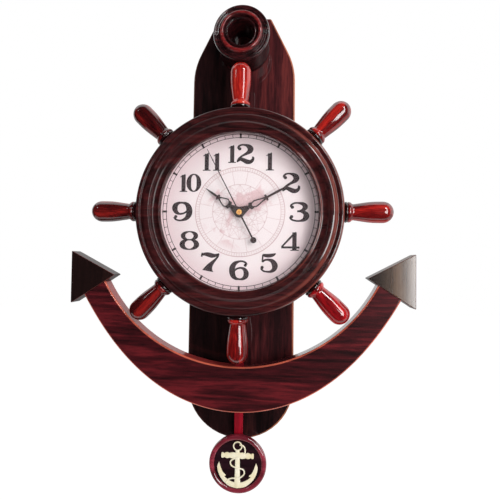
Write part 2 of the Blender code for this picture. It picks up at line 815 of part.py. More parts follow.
def make_movement_case():
    outline = rounded_box(2 * case_half, case_low + case_high, case_corner, (0, (case_high - case_low) / 2))
    case = place("movement_case", sheet(outline, [], case_front, walls_back), black_plastic, wheel_centre)
    half = case_half - case_wall
    train_room = box(-half, half, bay_top + case_wall, case_high - case_wall)
    with_tool(case, place("train_room_tool", sheet(train_room, [], case_floor, case_back + cut_overrun),
                          black_plastic, wheel_centre), "DIFFERENCE")
    bay = box(-half, half, case_wall - case_low, bay_top)
    with_tool(case, place("battery_bay_tool", sheet(bay, [], case_floor, case_back + cut_overrun),
                          black_plastic, wheel_centre), "DIFFERENCE")
    bush = circle(bush_radius, small_steps)
    with_tool(case, place("bush_tool", sheet(bush, [], bush_front, case_floor - case_wall / 2),
                          black_plastic, wheel_centre), "UNION")
    bore = circle(bore_circumradius(bush_bore, small_steps), small_steps)
    with_tool(case, place("bush_bore_tool", sheet(bore, [], bush_front - cut_overrun, case_floor + seat_gap),
                          black_plastic, wheel_centre), "DIFFERENCE")
    stud = circle(stud_radius, arbor_steps, motion_axis)
    stud_end = motion_layer + wheel_face + layer_gap / 2
    with_tool(case, place("motion_stud_tool", sheet(stud, [], case_floor - case_wall / 2, stud_end),
                          black_plastic, wheel_centre), "UNION")
    pillars = [(axis, bridge_layer - seat_gap) for axis in bridge_pillars]
    pillars += [(axis, stator_layer - seat_gap) for axis in stator_pillars]
    for k, (axis, top) in enumerate(pillars):
        pillar = circle(pillar_radius, arbor_steps, axis)
        with_tool(case, place("pillar_tool_%d" % k,
                              sheet(pillar, [], case_floor - case_wall / 2, top),
                              black_plastic, wheel_centre), "UNION")
    pivots = ((train_arbor_radius, third_axis), (train_arbor_radius, fifth_axis),
              (train_arbor_radius, rotor_axis), (setting_shaft_radius, setting_axis))
    for k, (radius, axis) in enumerate(pivots):
        hole = circle(bore_circumradius(radius + running_gap, arbor_steps), arbor_steps, axis)
        with_tool(case, place("pivot_hole_tool_%d" % k,
                              sheet(hole, [], pivot_end - seat_gap, case_floor + wheel_clear_of_floor / 2),
                              black_plastic, wheel_centre), "DIFFERENCE")
    return case


def make_movement_cover():
    low = bay_top + case_wall / 2
    outline = rounded([(-case_half, low, 0), (case_half, low, 0), (case_half, case_high, case_corner),
                       (-case_half, case_high, case_corner)], corner_steps)
    hole = circle(bore_circumradius(setting_shaft_radius + running_gap, arbor_steps),
                  arbor_steps, setting_axis)
    return place("movement_cover", sheet(outline, [hole], cover_front, case_back),
                 black_plastic, wheel_centre)


def make_fixings():
    hole = circle(bore_circumradius(bush_radius + seat_gap, small_steps), small_steps)
    place("rubber_gasket", sheet(circle(gasket_radius, small_steps), [hole], gasket_front, gasket_back),
          rubber, wheel_centre)
    hexagon = circle(bore_circumradius(nut_flat_half, 6), 6)
    place("hex_nut", sheet(hexagon, [hole], nut_front, nut_back), brass, wheel_centre)


def make_battery():
    half = battery_length / 2
    middle = case_floor + seat_gap + battery_radius
    profile = [(0, -half), (battery_radius, -half), (battery_radius, half), (battery_nub_radius, half),
               (battery_nub_radius, half + battery_nub_length), (0, half + battery_nub_length)]
    edit = turned(profile, small_steps)
    bmesh.ops.rotate(edit, verts=edit.verts, cent=(0, 0, 0), matrix=Matrix.Rotation(radians(-90), 3, "Z"))
    place("battery", edit, battery_jacket, wheel_centre + Vector((0, middle, -battery_below)))


def make_contacts():
    wall = case_half - case_wall - seat_gap
    half = contact_width / 2
    middle = case_floor + seat_gap + battery_radius
    plus = sheet(box(wall - contact_thickness, wall, -battery_below - half, -battery_below + half), [],
                 middle - half, walls_back)
    place("battery_contact_plus", plus, steel, wheel_centre)
    bulge = wall - battery_length / 2 - seat_gap
    edit = bmesh.new()
    inner = [(-wall, middle - half), (-wall + bulge - contact_thickness, middle), (-wall, middle + half)]
    outer = [(x + contact_thickness, y) for x, y in inner]
    path = inner + outer[::-1]
    lower = [edit.verts.new((x, y, -battery_below - half)) for x, y in path]
    face = edit.faces.new(lower)
    pushed = bmesh.ops.extrude_face_region(edit, geom=[face], use_keep_orig=True)
    moved = [item for item in pushed["geom"] if isinstance(item, bmesh.types.BMVert)]
    bmesh.ops.translate(edit, verts=moved, vec=(0, 0, contact_width))
    place("battery_contact_minus", edit, steel, wheel_centre)


# Tooth form of a wheel as shares of the module and of the pitch
tooth_addendum_share = 0.85
tooth_dedendum_share = 1.25
tooth_tip_share = 0.10
tooth_pitch_share = 0.36


def gear(teeth, module, phase):
    """Outline of a toothed wheel with a tooth centred on the phase angle."""
    pitch = 2 * pi / teeth
    pitch_radius = module * teeth / 2
    tip = pitch_radius + module * tooth_addendum_share
    root = pitch_radius - module * tooth_dedendum_share
    outline = []
    for k in range(teeth):
        middle = phase + k * pitch
        outline.append(polar(root, middle - pitch / 2))
        outline.append(polar(pitch_radius, middle - pitch * tooth_pitch_share / 2))
        outline.append(polar(tip, middle - pitch * tooth_tip_share / 2))
        outline.append(polar(tip, middle + pitch * tooth_tip_share / 2))
        outline.append(polar(pitch_radius, middle + pitch * tooth_pitch_share / 2))
    return outline


def fine_gear(teeth, module, phase):
    """Outline of a wheel with many small teeth, which come to a point."""
    pitch = 2 * pi / teeth
    pitch_radius = module * teeth / 2
    outline = []
    for k in range(teeth):
        middle = phase + k * pitch
        outline.append(polar(pitch_radius - module * tooth_dedendum_share, middle - pitch / 2))
        outline.append(polar(pitch_radius + module * tooth_addendum_share, middle))
    return outline


def module_of(distance, teeth_a, teeth_b):
    return 2 * distance / (teeth_a + teeth_b)


def meshing_phase(phase, teeth, other_teeth, direction):
    """Phase of a wheel that meshes with one of known phase and lies in this direction from it."""
    return direction + pi - (phase - direction) * teeth / other_teeth + pi / other_teeth


def arbor(radius, front, back):
    return (circle(radius, arbor_steps), front, back)


def shifted(point):
    return wheel_centre + Vector((point[0], 0, point[1]))


def make_train():
    third_module = module_of(third_distance, second_pinion_leaves, third_teeth)
    centre_module = module_of(third_distance, centre_teeth, third_pinion_leaves)
    second_module = module_of(fifth_distance, second_teeth, fifth_pinion_leaves)
    fifth_module = module_of(rotor_distance, fifth_teeth, rotor_pinion_leaves)
    cannon_module = module_of(motion_distance, cannon_leaves, motion_teeth)
    hour_module = module_of(motion_distance, motion_pinion_leaves, hour_teeth)
    setting_module = module_of(setting_distance, motion_teeth, setting_leaves)

    second_front = second_hand_back - hand_sheet
    place("second_wheel", stepped([
        arbor(second_arbor_radius, second_front, third_layer),
        (gear(second_pinion_leaves, third_module, third_angle), third_layer, third_layer + wheel_face),
        arbor(second_arbor_radius, third_layer + wheel_face, second_layer),
        (fine_gear(second_teeth, second_module, fifth_angle), second_layer, second_layer + wheel_face),
        arbor(second_arbor_radius, second_layer + wheel_face, arbor_back)]), white_plastic, wheel_centre)

    place("third_wheel", stepped([
        arbor(train_arbor_radius, pivot_end, centre_layer),
        (gear(third_pinion_leaves, centre_module,
              meshing_phase(third_angle, centre_teeth, third_pinion_leaves, third_angle)),
         centre_layer, centre_layer + wheel_face),
        arbor(train_arbor_radius, centre_layer + wheel_face, third_layer),
        (fine_gear(third_teeth, third_module,
                   meshing_phase(third_angle, second_pinion_leaves, third_teeth, third_angle)),
         third_layer, third_layer + wheel_face),
        arbor(train_arbor_radius, third_layer + wheel_face, arbor_back)]),
        white_plastic, shifted(third_axis))

    place("centre_wheel", stepped([
        (circle(minute_tube_radius, small_steps), minute_hand_back - hand_sheet, motion_layer),
        (gear(cannon_leaves, cannon_module, motion_angle), motion_layer, motion_layer + wheel_face),
        (circle(minute_tube_radius, small_steps), motion_layer + wheel_face, centre_layer),
        (fine_gear(centre_teeth, centre_module, third_angle), centre_layer, centre_layer + wheel_face)],
        bore=circle(bore_circumradius(minute_tube_bore, arbor_steps), arbor_steps)),
        white_plastic, wheel_centre)

    motion_phase = meshing_phase(motion_angle, cannon_leaves, motion_teeth, motion_angle)
    place("minute_wheel", stepped([
        (gear(motion_pinion_leaves, hour_module, motion_angle + pi), hour_layer, hour_layer + wheel_face),
        (circle(stud_radius + running_gap + stud_sleeve_wall, arbor_steps), hour_layer + wheel_face, motion_layer),
        (fine_gear(motion_teeth, cannon_module, motion_phase), motion_layer, motion_layer + wheel_face)],
        bore=circle(bore_circumradius(stud_radius + running_gap, arbor_steps), arbor_steps)),
        white_plastic, shifted(motion_axis))

    place("hour_wheel", stepped([
        (circle(hour_tube_radius, small_steps), hour_hand_back - hand_sheet, hour_layer),
        (fine_gear(hour_teeth, hour_module,
                   meshing_phase(motion_angle + pi, motion_pinion_leaves, hour_teeth, motion_angle + pi)),
         hour_layer, hour_layer + wheel_face)],
        bore=circle(bore_circumradius(hour_tube_bore, small_steps), small_steps)),
        white_plastic, wheel_centre)

    place("fifth_wheel", stepped([
        arbor(train_arbor_radius, pivot_end, second_layer),
        (gear(fifth_pinion_leaves, second_module,
              meshing_phase(fifth_angle, second_teeth, fifth_pinion_leaves, fifth_angle)),
         second_layer, second_layer + wheel_face),
        arbor(train_arbor_radius, second_layer + wheel_face, fifth_layer),
        (fine_gear(fifth_teeth, fifth_module, rotor_angle), fifth_layer, fifth_layer + wheel_face),
        arbor(train_arbor_radius, fifth_layer + wheel_face, arbor_back)]),
        white_plastic, shifted(fifth_axis))

    place("motor_rotor", stepped([
        arbor(train_arbor_radius, pivot_end, fifth_layer),
        (gear(rotor_pinion_leaves, fifth_module,
              meshing_phase(rotor_angle, fifth_teeth, rotor_pinion_leaves, rotor_angle)),
         fifth_layer, fifth_layer + wheel_face),
        arbor(train_arbor_radius, fifth_layer + wheel_face, magnet_layer),
        (circle(rotor_magnet_radius, small_steps), magnet_layer, magnet_layer + rotor_magnet_length),
        arbor(train_arbor_radius, magnet_layer + rotor_magnet_length, arbor_back)]),
        steel, shifted(rotor_axis))

    knob_front = case_back + seat_gap
    flutes = []
    for k in range(2 * knob_flutes):
        flutes.append(polar(knob_radius - seat_gap * (k % 2), pi * k / knob_flutes))
    place("setting_knob", stepped([
        arbor(setting_shaft_radius, pivot_end, motion_layer),
        (gear(setting_leaves, setting_module,
              meshing_phase(motion_phase, motion_teeth, setting_leaves, setting_angle)),
         motion_layer, motion_layer + wheel_face),
        arbor(setting_shaft_radius, motion_layer + wheel_face, knob_front),
        (flutes, knob_front, knob_front + knob_thickness)]), white_plastic, shifted(setting_axis))


def make_motor_and_bridge():
    rx, rz = rotor_axis
    low = rz - stator_bar_below_rotor
    high = rz + stator_bar_above_rotor
    around = stator_yoke_radius
    low_angle = atan2(-stator_bar_below_rotor, -(around ** 2 - stator_bar_below_rotor ** 2) ** 0.5)
    high_angle = atan2(stator_bar_above_rotor, (around ** 2 - stator_bar_above_rotor ** 2) ** 0.5)
    outline = [(-stator_left, low)]
    outline += arc(rotor_axis, around, low_angle, -pi - low_angle, 2 * corner_steps)
    outline += [(stator_right, low), (stator_right, stator_top),
                (stator_right - stator_leg_width, stator_top), (stator_right - stator_leg_width, high)]
    outline += arc(rotor_axis, around, high_angle, pi - high_angle, 2 * corner_steps)
    outline += [(-stator_left + stator_leg_width, high), (-stator_left + stator_leg_width, stator_top),
                (-stator_left, stator_top)]
    air = circle(rotor_magnet_radius + stator_air_gap, small_steps, rotor_axis)
    place("motor_stator", sheet(outline, [air], stator_layer, stator_layer + stator_thickness),
          steel, wheel_centre)
    core_layer = stator_layer + stator_thickness + seat_gap
    core = box(-stator_left, stator_right, stator_top - coil_core_height, stator_top)
    place("coil_core", sheet(core, [], core_layer, core_layer + stator_thickness), steel, wheel_centre)
    coil_left = -stator_left + stator_leg_width + coil_end_gap
    coil_right = stator_right - stator_leg_width - coil_end_gap
    slot_half = hypot(coil_core_height, stator_thickness) / 2 + seat_gap
    coil = [(slot_half, coil_left), (coil_radius, coil_left), (coil_radius, coil_right),
            (slot_half, coil_right)]
    edit = turned(coil, small_steps)
    bmesh.ops.rotate(edit, verts=edit.verts, cent=(0, 0, 0), matrix=Matrix.Rotation(radians(-90), 3, "Z"))
    place("motor_coil", edit, copper,
          wheel_centre + Vector((0, core_layer + stator_thickness / 2, stator_top - coil_core_height / 2)))

    outline = rounded([(-bridge_left, -bridge_bottom, bridge_corner), (bridge_right, -bridge_bottom, bridge_corner),
                       (bridge_right, bridge_top, bridge_corner), (-bridge_left, bridge_top, bridge_corner)],
                      corner_steps)
    holes = []
    for radius, axis in ((second_arbor_radius, (0, 0)), (train_arbor_radius, third_axis),
                         (train_arbor_radius, fifth_axis), (train_arbor_radius, rotor_axis),
                         (setting_shaft_radius, setting_axis)):
        holes.append(circle(bore_circumradius(radius + running_gap, arbor_steps), arbor_steps, axis))
    place("train_bridge", sheet(outline, holes, bridge_layer, bridge_layer + bridge_thickness),
          white_plastic, wheel_centre)

    left = -case_half + case_wall + seat_gap
    top = case_high - case_wall - seat_gap
    board = box(left, left + board_width, top - board_height, top)
    place("circuit_board", sheet(board, [], stator_layer, stator_layer + board_sheet),
          circuit_green, wheel_centre)
    can = turned([(0, 0), (crystal_radius, 0), (crystal_radius, crystal_length), (0, crystal_length)],
                 arbor_steps)
    bmesh.ops.rotate(can, verts=can.verts, cent=(0, 0, 0), matrix=Matrix.Rotation(radians(90), 3, "X"))
    place("quartz_crystal", can, steel,
          wheel_centre + Vector((left + board_width / 2, stator_layer - seat_gap - crystal_radius,
                                 top - board_height / 2)))


# Hands

def hand_outline(length, knot, knot_half, loop_half, collar, collar_half):
    """Right half of an open pear-loop hand that points along +Z, mirrored into a full outline."""
    knot_top = knot + hand_wire / 2
    span = collar - knot_top
    shares = [(0.10, 0.72), (0.24, 1.00), (0.45, 0.80), (0.70, 0.42)]
    right = [(hand_hub_radius * sin(angle), -hand_hub_radius * cos(angle))
             for angle in [pi * k / (3 * corner_steps) for k in range(1, 2 * corner_steps)]]
    right += [(neck_half * 1.6, (hand_hub_radius + knot) / 2), (neck_half, knot - hand_wire * 1.2),
              (knot_half, knot - hand_wire / 2), (knot_half, knot_top)]
    right += [(hand_wire / 2 + (loop_half - hand_wire / 2) * wide, knot_top + span * along)
              for along, wide in shares]
    right += [(spear_half + hand_wire / 4, collar - hand_wire / 2), (collar_half, collar - hand_wire / 2),
              (collar_half, collar + hand_wire / 2), (spear_half, collar + hand_wire)]
    right += [(spear_half, collar + (length - collar) / 2), (tip_half, length)]
    outer = [(0, -hand_hub_radius)] + right + mirrored(right)
    hole_right = [(hand_wire / 2, knot_top + hand_wire / 2)]
    hole_right += [((loop_half - hand_wire / 2) * wide - hand_wire / 4, knot_top + span * along)
                   for along, wide in shares]
    hole = hole_right + [(0, collar - hand_wire * 1.5)] + mirrored(hole_right)
    return outer, hole


def make_hands():
    bore = circle(bore_circumradius(hour_tube_radius + running_gap, small_steps), small_steps)
    hour_turn = 2 * pi * (shown_hour + shown_minute / 60) / 12
    minute_turn = 2 * pi * shown_minute / 60
    second_turn = 2 * pi * shown_second / 60
    outer, loop = hand_outline(hour_length, hour_knot, hour_knot_half, hour_loop_half,
                               hour_collar, hour_collar_half)
    place("hour_hand", sheet(outer, [bore, loop], hour_hand_back - hand_sheet, hour_hand_back),
          hand_brown, wheel_centre, hour_turn)
    bore = circle(bore_circumradius(minute_tube_radius + running_gap, small_steps), small_steps)
    outer, loop = hand_outline(minute_length, minute_knot, minute_knot_half, minute_loop_half,
                               minute_collar, minute_collar_half)
    place("minute_hand", sheet(outer, [bore, loop], minute_hand_back - hand_sheet, minute_hand_back),
          hand_brown, wheel_centre, minute_turn)

    blade_foot = (second_hub_radius ** 2 - second_blade_half ** 2) ** 0.5
    tail_foot = (second_hub_radius ** 2 - second_tail_half ** 2) ** 0.5
    weight_foot = (second_weight_radius ** 2 - second_tail_half ** 2) ** 0.5
    blade_angle = atan2(blade_foot, second_blade_half)
    tail_angle = atan2(tail_foot, second_tail_half)
    weight_angle = atan2(weight_foot, second_tail_half)
    weight_centre = (0, -second_tail)
    right = arc(weight_centre, second_weight_radius, -pi / 2, weight_angle, 2 * corner_steps)[1:]
    right += arc((0, 0), second_hub_radius, -tail_angle, blade_angle, corner_steps)
    right += [(second_tip_half * 1.5, second_bead_at - second_bead_radius),
              (second_bead_radius, second_bead_at),
              (second_tip_half * 1.5, second_bead_at + second_bead_radius),
              (second_tip_half, second_length)]
    outer = [(0, -second_tail - second_weight_radius)] + right + mirrored(right)
    bore = circle(bore_circumradius(second_arbor_radius + running_gap, arbor_steps), arbor_steps)
    place("second_hand", sheet(outer, [bore], second_hand_back - hand_sheet, second_hand_back),
          hand_brown, wheel_centre, second_turn)
    dome = [(0, cap_back), (cap_radius, cap_back), (cap_radius, cap_back - cap_height / 2),
            (cap_radius * cos(pi / 6), cap_back - cap_height * cos(pi / 6)), (0, cap_back - cap_height)]
    place("centre_cap", turned(dome, small_steps), brass, wheel_centre)


# Pendulum

arm_plane_front = case_back + hanger_arm_behind_case
arm_plane_back = arm_plane_front + hanger_arm_thickness
pivot_centre = wheel_centre + Vector((0, 0, -pivot_below))
rod_back = arm_plane_back + rod_thickness / 2


def make_pendulum_drive():
    top = -case_low - seat_gap
    middle = (0, top - drive_height / 2)
    outline = rounded_box(drive_width, drive_height, case_corner, middle)
    case = place("pendulum_drive_case", sheet(outline, [], case_front, case_back),
                 black_plastic, wheel_centre)
    room = rounded_box(drive_width - 2 * case_wall, drive_height - 2 * case_wall,
                       case_corner - case_wall, middle)
    with_tool(case, place("drive_room_tool", sheet(room, [], case_floor, case_back + cut_overrun),
                          black_plastic, wheel_centre), "DIFFERENCE")
    stud = circle(pivot_radius, small_steps, (0, -pivot_below))
    with_tool(case, place("pivot_stud_tool",
                          sheet(stud, [], case_floor - case_wall / 2, arm_plane_back + pivot_spare),
                          black_plastic, wheel_centre), "UNION")
    coil_front = case_floor + seat_gap
    coil = [(drive_coil_bore, coil_front), (drive_coil_radius, coil_front),
            (drive_coil_radius, coil_front + drive_coil_length),
            (drive_coil_bore, coil_front + drive_coil_length)]
    place("pendulum_coil", turned(coil, small_steps), copper,
          pivot_centre - Vector((0, 0, magnet_below_pivot)))


def make_pendulum_hanger():
    eye = bore_circumradius(pivot_radius + running_gap, small_steps)
    half = hanger_arm_width / 2
    foot = peg_below_pivot + half
    outline = arc((0, 0), hanger_eye_radius, -pi / 3, 4 * pi / 3, 3 * corner_steps)
    outline += [(-half, -hanger_eye_radius), (-half, -foot), (half, -foot), (half, -hanger_eye_radius)]
    hanger = place("pendulum_hanger",
                   sheet(outline, [circle(eye, small_steps)], arm_plane_front, arm_plane_back),
                   white_plastic, pivot_centre)
    peg = circle(peg_radius, small_steps, (0, -peg_below_pivot))
    with_tool(hanger, place("peg_tool", sheet(peg, [], arm_plane_front + hanger_arm_thickness / 2,
                                              arm_plane_back + peg_length), white_plastic, pivot_centre),
              "UNION")
    magnet = circle(magnet_radius, small_steps, (0, -magnet_below_pivot))
    place("pendulum_magnet", sheet(magnet, [], arm_plane_front - seat_gap - magnet_thickness,
                                   arm_plane_front - seat_gap), steel, pivot_centre)


def make_pendulum_rod():
    rod_top = peg_below_pivot + rod_below_peg
    rod_bottom = bob_below - pivot_below
    middle = (0, -(rod_top + rod_bottom) / 2)
    rod_front = rod_back - rod_thickness
    outline = rounded_box(rod_width, rod_bottom - rod_top, rod_edge, middle, 1)
    place("pendulum_rod", sheet(outline, [], rod_front, rod_back), red_lacquer, pivot_centre)
    hook_front = rod_back + seat_gap
    hook_top = peg_below_pivot - hook_width / 2
    hook_bottom = rod_top + hook_overlap
    strip = rounded_box(hook_width, hook_bottom - hook_top, hook_width / 4,
                        (0, -(hook_top + hook_bottom) / 2))
    eye = circle(bore_circumradius(peg_radius + seat_gap, small_steps), small_steps, (0, -peg_below_pivot))
    place("pendulum_hook", sheet(strip, [eye], hook_front, hook_front + hook_sheet),
          steel, pivot_centre)


def make_bob():
    back = rod_back - rod_thickness - seat_gap
    front = back - bob_thickness
    floor = front + bob_recess
    inner = bob_radius - bob_rim_width
    soft = bob_rim_width / 4
    profile = [(0, back), (bob_radius - soft, back), (bob_radius, back - soft),
               (bob_radius, front + soft), (bob_radius - soft, front), (inner + soft, front),
               (inner, front + soft), (inner, floor), (0, floor)]
    centre = wheel_centre + Vector((0, 0, -bob_below))
    place("bob_body", turned(profile, disc_steps), lacquer, centre)
    inlay_back = floor - seat_gap
    inlay_front = inlay_back - inlay_thickness
    place("bob_inlay", sheet(circle(inner - seat_gap, disc_steps), [], inlay_front, inlay_back),
          dark_lacquer, centre)
    make_emblem(inlay_front - seat_gap, centre)


def make_emblem(back, centre):
    """Plain fouled-anchor shape: arms, shank, stock and ring in stepped relief."""
    arm_middle = (0, emblem_arm_centre_above)
    radius = emblem_arm_radius
    start = -pi / 2 - emblem_arm_angle
    end = -pi / 2 + emblem_arm_angle
    outer = arc(arm_middle, radius, start, end, 4 * corner_steps)
    inner = arc((0, emblem_arm_centre_above + emblem_arm_width), radius, end, start, 4 * corner_steps)
    inner = inner[1:-1]
    emblem = place("bob_emblem", sheet(outer + inner, [], back - emblem_thickness, back),
                   pale_gold, centre)
    bottom = emblem_arm_centre_above - radius + emblem_wire
    top = emblem_ring_above - emblem_ring_radius + emblem_wire / 2
    shank = box(-emblem_shank_half, emblem_shank_half, bottom, top)
    stock = box(-emblem_stock_half, emblem_stock_half, emblem_stock_above - emblem_stock_height / 2,
                emblem_stock_above + emblem_stock_height / 2)
    loop_centre = (0, emblem_ring_above)
    loop = circle(emblem_ring_radius, small_steps, loop_centre)
    loop_hole = circle(emblem_ring_radius - emblem_wire, small_steps, loop_centre)
    layers = [("shank", shank, [], emblem_relief_step), ("stock", stock, [], 2 * emblem_relief_step),
              ("loop", loop, [loop_hole], -emblem_relief_step)]
    for word, outline, holes, proud in layers:
        with_tool(emblem, place("emblem_%s_tool" % word,
                                sheet(outline, holes, back - emblem_thickness - proud, back),
                                pale_gold, centre), "UNION")
    return emblem


def main():
    for old in list(bpy.data.objects):
        bpy.data.objects.remove(old)
    make_shank()
    make_hanger_plate()
    make_anchor_ring()
    make_crescent()
    make_flukes()
    make_crescent_blocks()
    make_hub()
    make_back_plate()
    make_rim()
    make_handles()
    make_dial_stack()
    make_movement_case()
    make_movement_cover()
    make_fixings()
    make_battery()
    make_contacts()
    make_train()
    make_motor_and_bridge()
    make_hands()
    make_pendulum_drive()
    make_pendulum_hanger()
    make_pendulum_rod()
    make_bob()


main()
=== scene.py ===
# Looks of the ship wheel wall clock: lacquered wood, the printed dial, hands, glass and pendulum.
# Metres, +Z up, the front faces -Y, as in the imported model.

from math import cos, hypot, pi, radians, sin, tan

import bmesh
import bpy
from mathutils import Matrix, Vector


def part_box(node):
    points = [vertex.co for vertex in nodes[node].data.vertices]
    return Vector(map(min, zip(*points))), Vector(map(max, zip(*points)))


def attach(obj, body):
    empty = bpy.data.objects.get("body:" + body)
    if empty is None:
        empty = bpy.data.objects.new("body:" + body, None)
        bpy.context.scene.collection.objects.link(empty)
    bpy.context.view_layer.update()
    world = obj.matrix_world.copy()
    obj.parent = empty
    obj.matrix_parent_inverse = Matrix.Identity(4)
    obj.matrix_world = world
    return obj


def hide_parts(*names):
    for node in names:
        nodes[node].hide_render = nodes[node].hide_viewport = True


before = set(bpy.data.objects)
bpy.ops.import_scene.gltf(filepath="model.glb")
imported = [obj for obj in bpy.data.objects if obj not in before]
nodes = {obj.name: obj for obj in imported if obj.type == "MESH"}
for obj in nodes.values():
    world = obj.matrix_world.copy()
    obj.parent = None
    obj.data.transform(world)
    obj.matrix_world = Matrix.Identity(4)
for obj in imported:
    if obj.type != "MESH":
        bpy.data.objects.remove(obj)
scene = bpy.context.scene
link_object = scene.collection.objects.link
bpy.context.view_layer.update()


# Places taken from the frame

def node_box(name):
    return [Vector(corner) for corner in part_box(name)]


rim_low, rim_high = node_box("wheel_rim")
rim_radius = (rim_high.x - rim_low.x) / 2
wheel_z = rim_high.z - rim_radius
ring_low, ring_high = node_box("anchor_ring")
ring_radius = (ring_high.x - ring_low.x) / 2
ring_z = ring_high.z - ring_radius
dial_low, dial_high = node_box("dial_plate")
dial_front = dial_low.y
dial_radius = (dial_high.x - dial_low.x) / 2
bob_low, bob_high = node_box("bob_body")
bob_radius = (bob_high.x - bob_low.x) / 2
bob_z = (bob_low.z + bob_high.z) / 2
handle_low, handle_high = node_box("handle_top")
handle_reach = handle_high.z - wheel_z
handle_depth = (handle_low.y + handle_high.y) / 2
arm_low, arm_high = node_box("anchor_crescent")
spacer_low, spacer_high = node_box("dial_spacer_ring")

# Fineness of turned and swept pieces
wheel_steps = 192
ring_steps = 128
handle_steps = 48
bob_steps = 96


# Colours are given as the eye reads them, 0 to 255

def rgb(*colour):
    shares = [value / 255 for value in colour]
    return (*[s / 12.92 if s <= 0.04045 else ((s + 0.055) / 1.055) ** 2.4 for s in shares], 1.0)


# Material helpers

class Nodes:
    """The node tree of a material or of the world, with short calls for its nodes."""

    def __init__(self, owner):
        owner.use_nodes = True
        self.tree = owner.node_tree
        self.tree.nodes.clear()

    def put(self, target, value):
        if isinstance(value, bpy.types.NodeSocket):
            self.tree.links.new(value, target)
        else:
            target.default_value = value

    def node(self, kind, inputs=(), **settings):
        made = self.tree.nodes.new(kind)
        for key, value in settings.items():
            setattr(made, key, value)
        for key, value in dict(inputs).items():
            self.put(made.inputs[key], value)
        return made

    def math(self, operation, first, second=0.0):
        return self.node("ShaderNodeMath", {0: first, 1: second}, operation=operation).outputs[0]

    def times(self, first, second):
        return self.math("MULTIPLY", first, second)

    def blend(self, factor, first, second, output):
        """Links a mix of two shaders to an output node."""
        mixed = self.node("ShaderNodeMixShader", {0: factor, 1: first, 2: second})
        self.put(output.inputs["Surface"], mixed.outputs[0])


# Where the three stains of a wood lie in its grain
stain_stops = (0.38, 0.5, 0.62)


class Shader(Nodes):
    """A new material with a Principled surface, and the nodes that the finishes share."""

    def __init__(self, name):
        self.material = bpy.data.materials.new(name)
        super().__init__(self.material)
        self.output = self.node("ShaderNodeOutputMaterial")
        self.surface = self.node("ShaderNodeBsdfPrincipled")
        self.put(self.output.inputs["Surface"], self.surface.outputs[0])

    def set(self, **values):
        for key, value in values.items():
            self.put(self.surface.inputs[key.replace("_", " ").title().replace("Ior", "IOR")], value)

    def place(self, scale=(1, 1, 1), turn=(0, 0, 0), shift=(0, 0, 0)):
        coords = self.node("ShaderNodeTexCoord").outputs["Object"]
        values = {"Vector": coords, "Location": shift, "Rotation": turn, "Scale": scale}
        return self.node("ShaderNodeMapping", values).outputs[0]

    def split(self, vector):
        return self.node("ShaderNodeSeparateXYZ", {0: vector}).outputs

    def from_axis(self, x, z):
        """Distance from the Y axis."""
        return self.math("SQRT", self.math("ADD", *[self.math("POWER", value, 2.0) for value in (x, z)]))

    def noise(self, vector, scale, detail=4.0, roughness=0.55, distortion=0.0):
        values = {"Vector": vector, "Scale": scale, "Detail": detail, "Roughness": roughness,
                  "Distortion": distortion}
        return self.node("ShaderNodeTexNoise", values).outputs["Fac"]

    def ramp(self, factor, stops):
        """Stops are (place, colour as the eye reads it)."""
        made = self.node("ShaderNodeValToRGB", {"Fac": factor})
        elements = made.color_ramp.elements
        for _ in stops[2:]:
            elements.new(1.0)
        for element, (position, colour) in zip(elements, stops):
            element.position = position
            element.color = rgb(*colour)
        return made.outputs["Color"]

    def stain(self, grain, *colours):
        return self.ramp(grain, list(zip(stain_stops, colours)))

    def span(self, value, low, high, to_low=0.0, to_high=1.0):
        values = {"Value": value, "From Min": low, "From Max": high, "To Min": to_low, "To Max": to_high}
        return self.node("ShaderNodeMapRange", values, interpolation_type="SMOOTHSTEP").outputs[0]

    def band(self, value, start, full, fading, end):
        """1 from full to fading, and 0 up to start and from end on."""
        return self.times(self.span(value, start, full), self.span(value, fading, end, 1.0, 0.0))

    def mix(self, factor, first, second, blend="MIX"):
        return self.node("ShaderNodeMix", {0: factor, 6: first, 7: second}, data_type="RGBA",
                         blend_type=blend).outputs[2]

    def bump(self, height, distance, strength):
        made = self.node("ShaderNodeBump", {"Height": height, "Distance": distance, "Strength": strength})
        self.set(normal=made.outputs[0])


def drawn_out(along, scale):
    """Scales that draw a noise out along axis 0, 1 or 2."""
    return [scale if axis == along else 1.0 for axis in range(3)]


# Wood and brushed metal: scales of the figure, the pores and the lines along the grain, how many times
# finer than the figure its fine part and the pores are, the broad part's share, and a pore's shade
figure_drawn = 0.1
pore_drawn = 0.03
line_drawn = 0.02
fine_times = 12
pore_times = 60
broad_share = 0.66
pore_shade = 0.5
edge_fade = 0.08


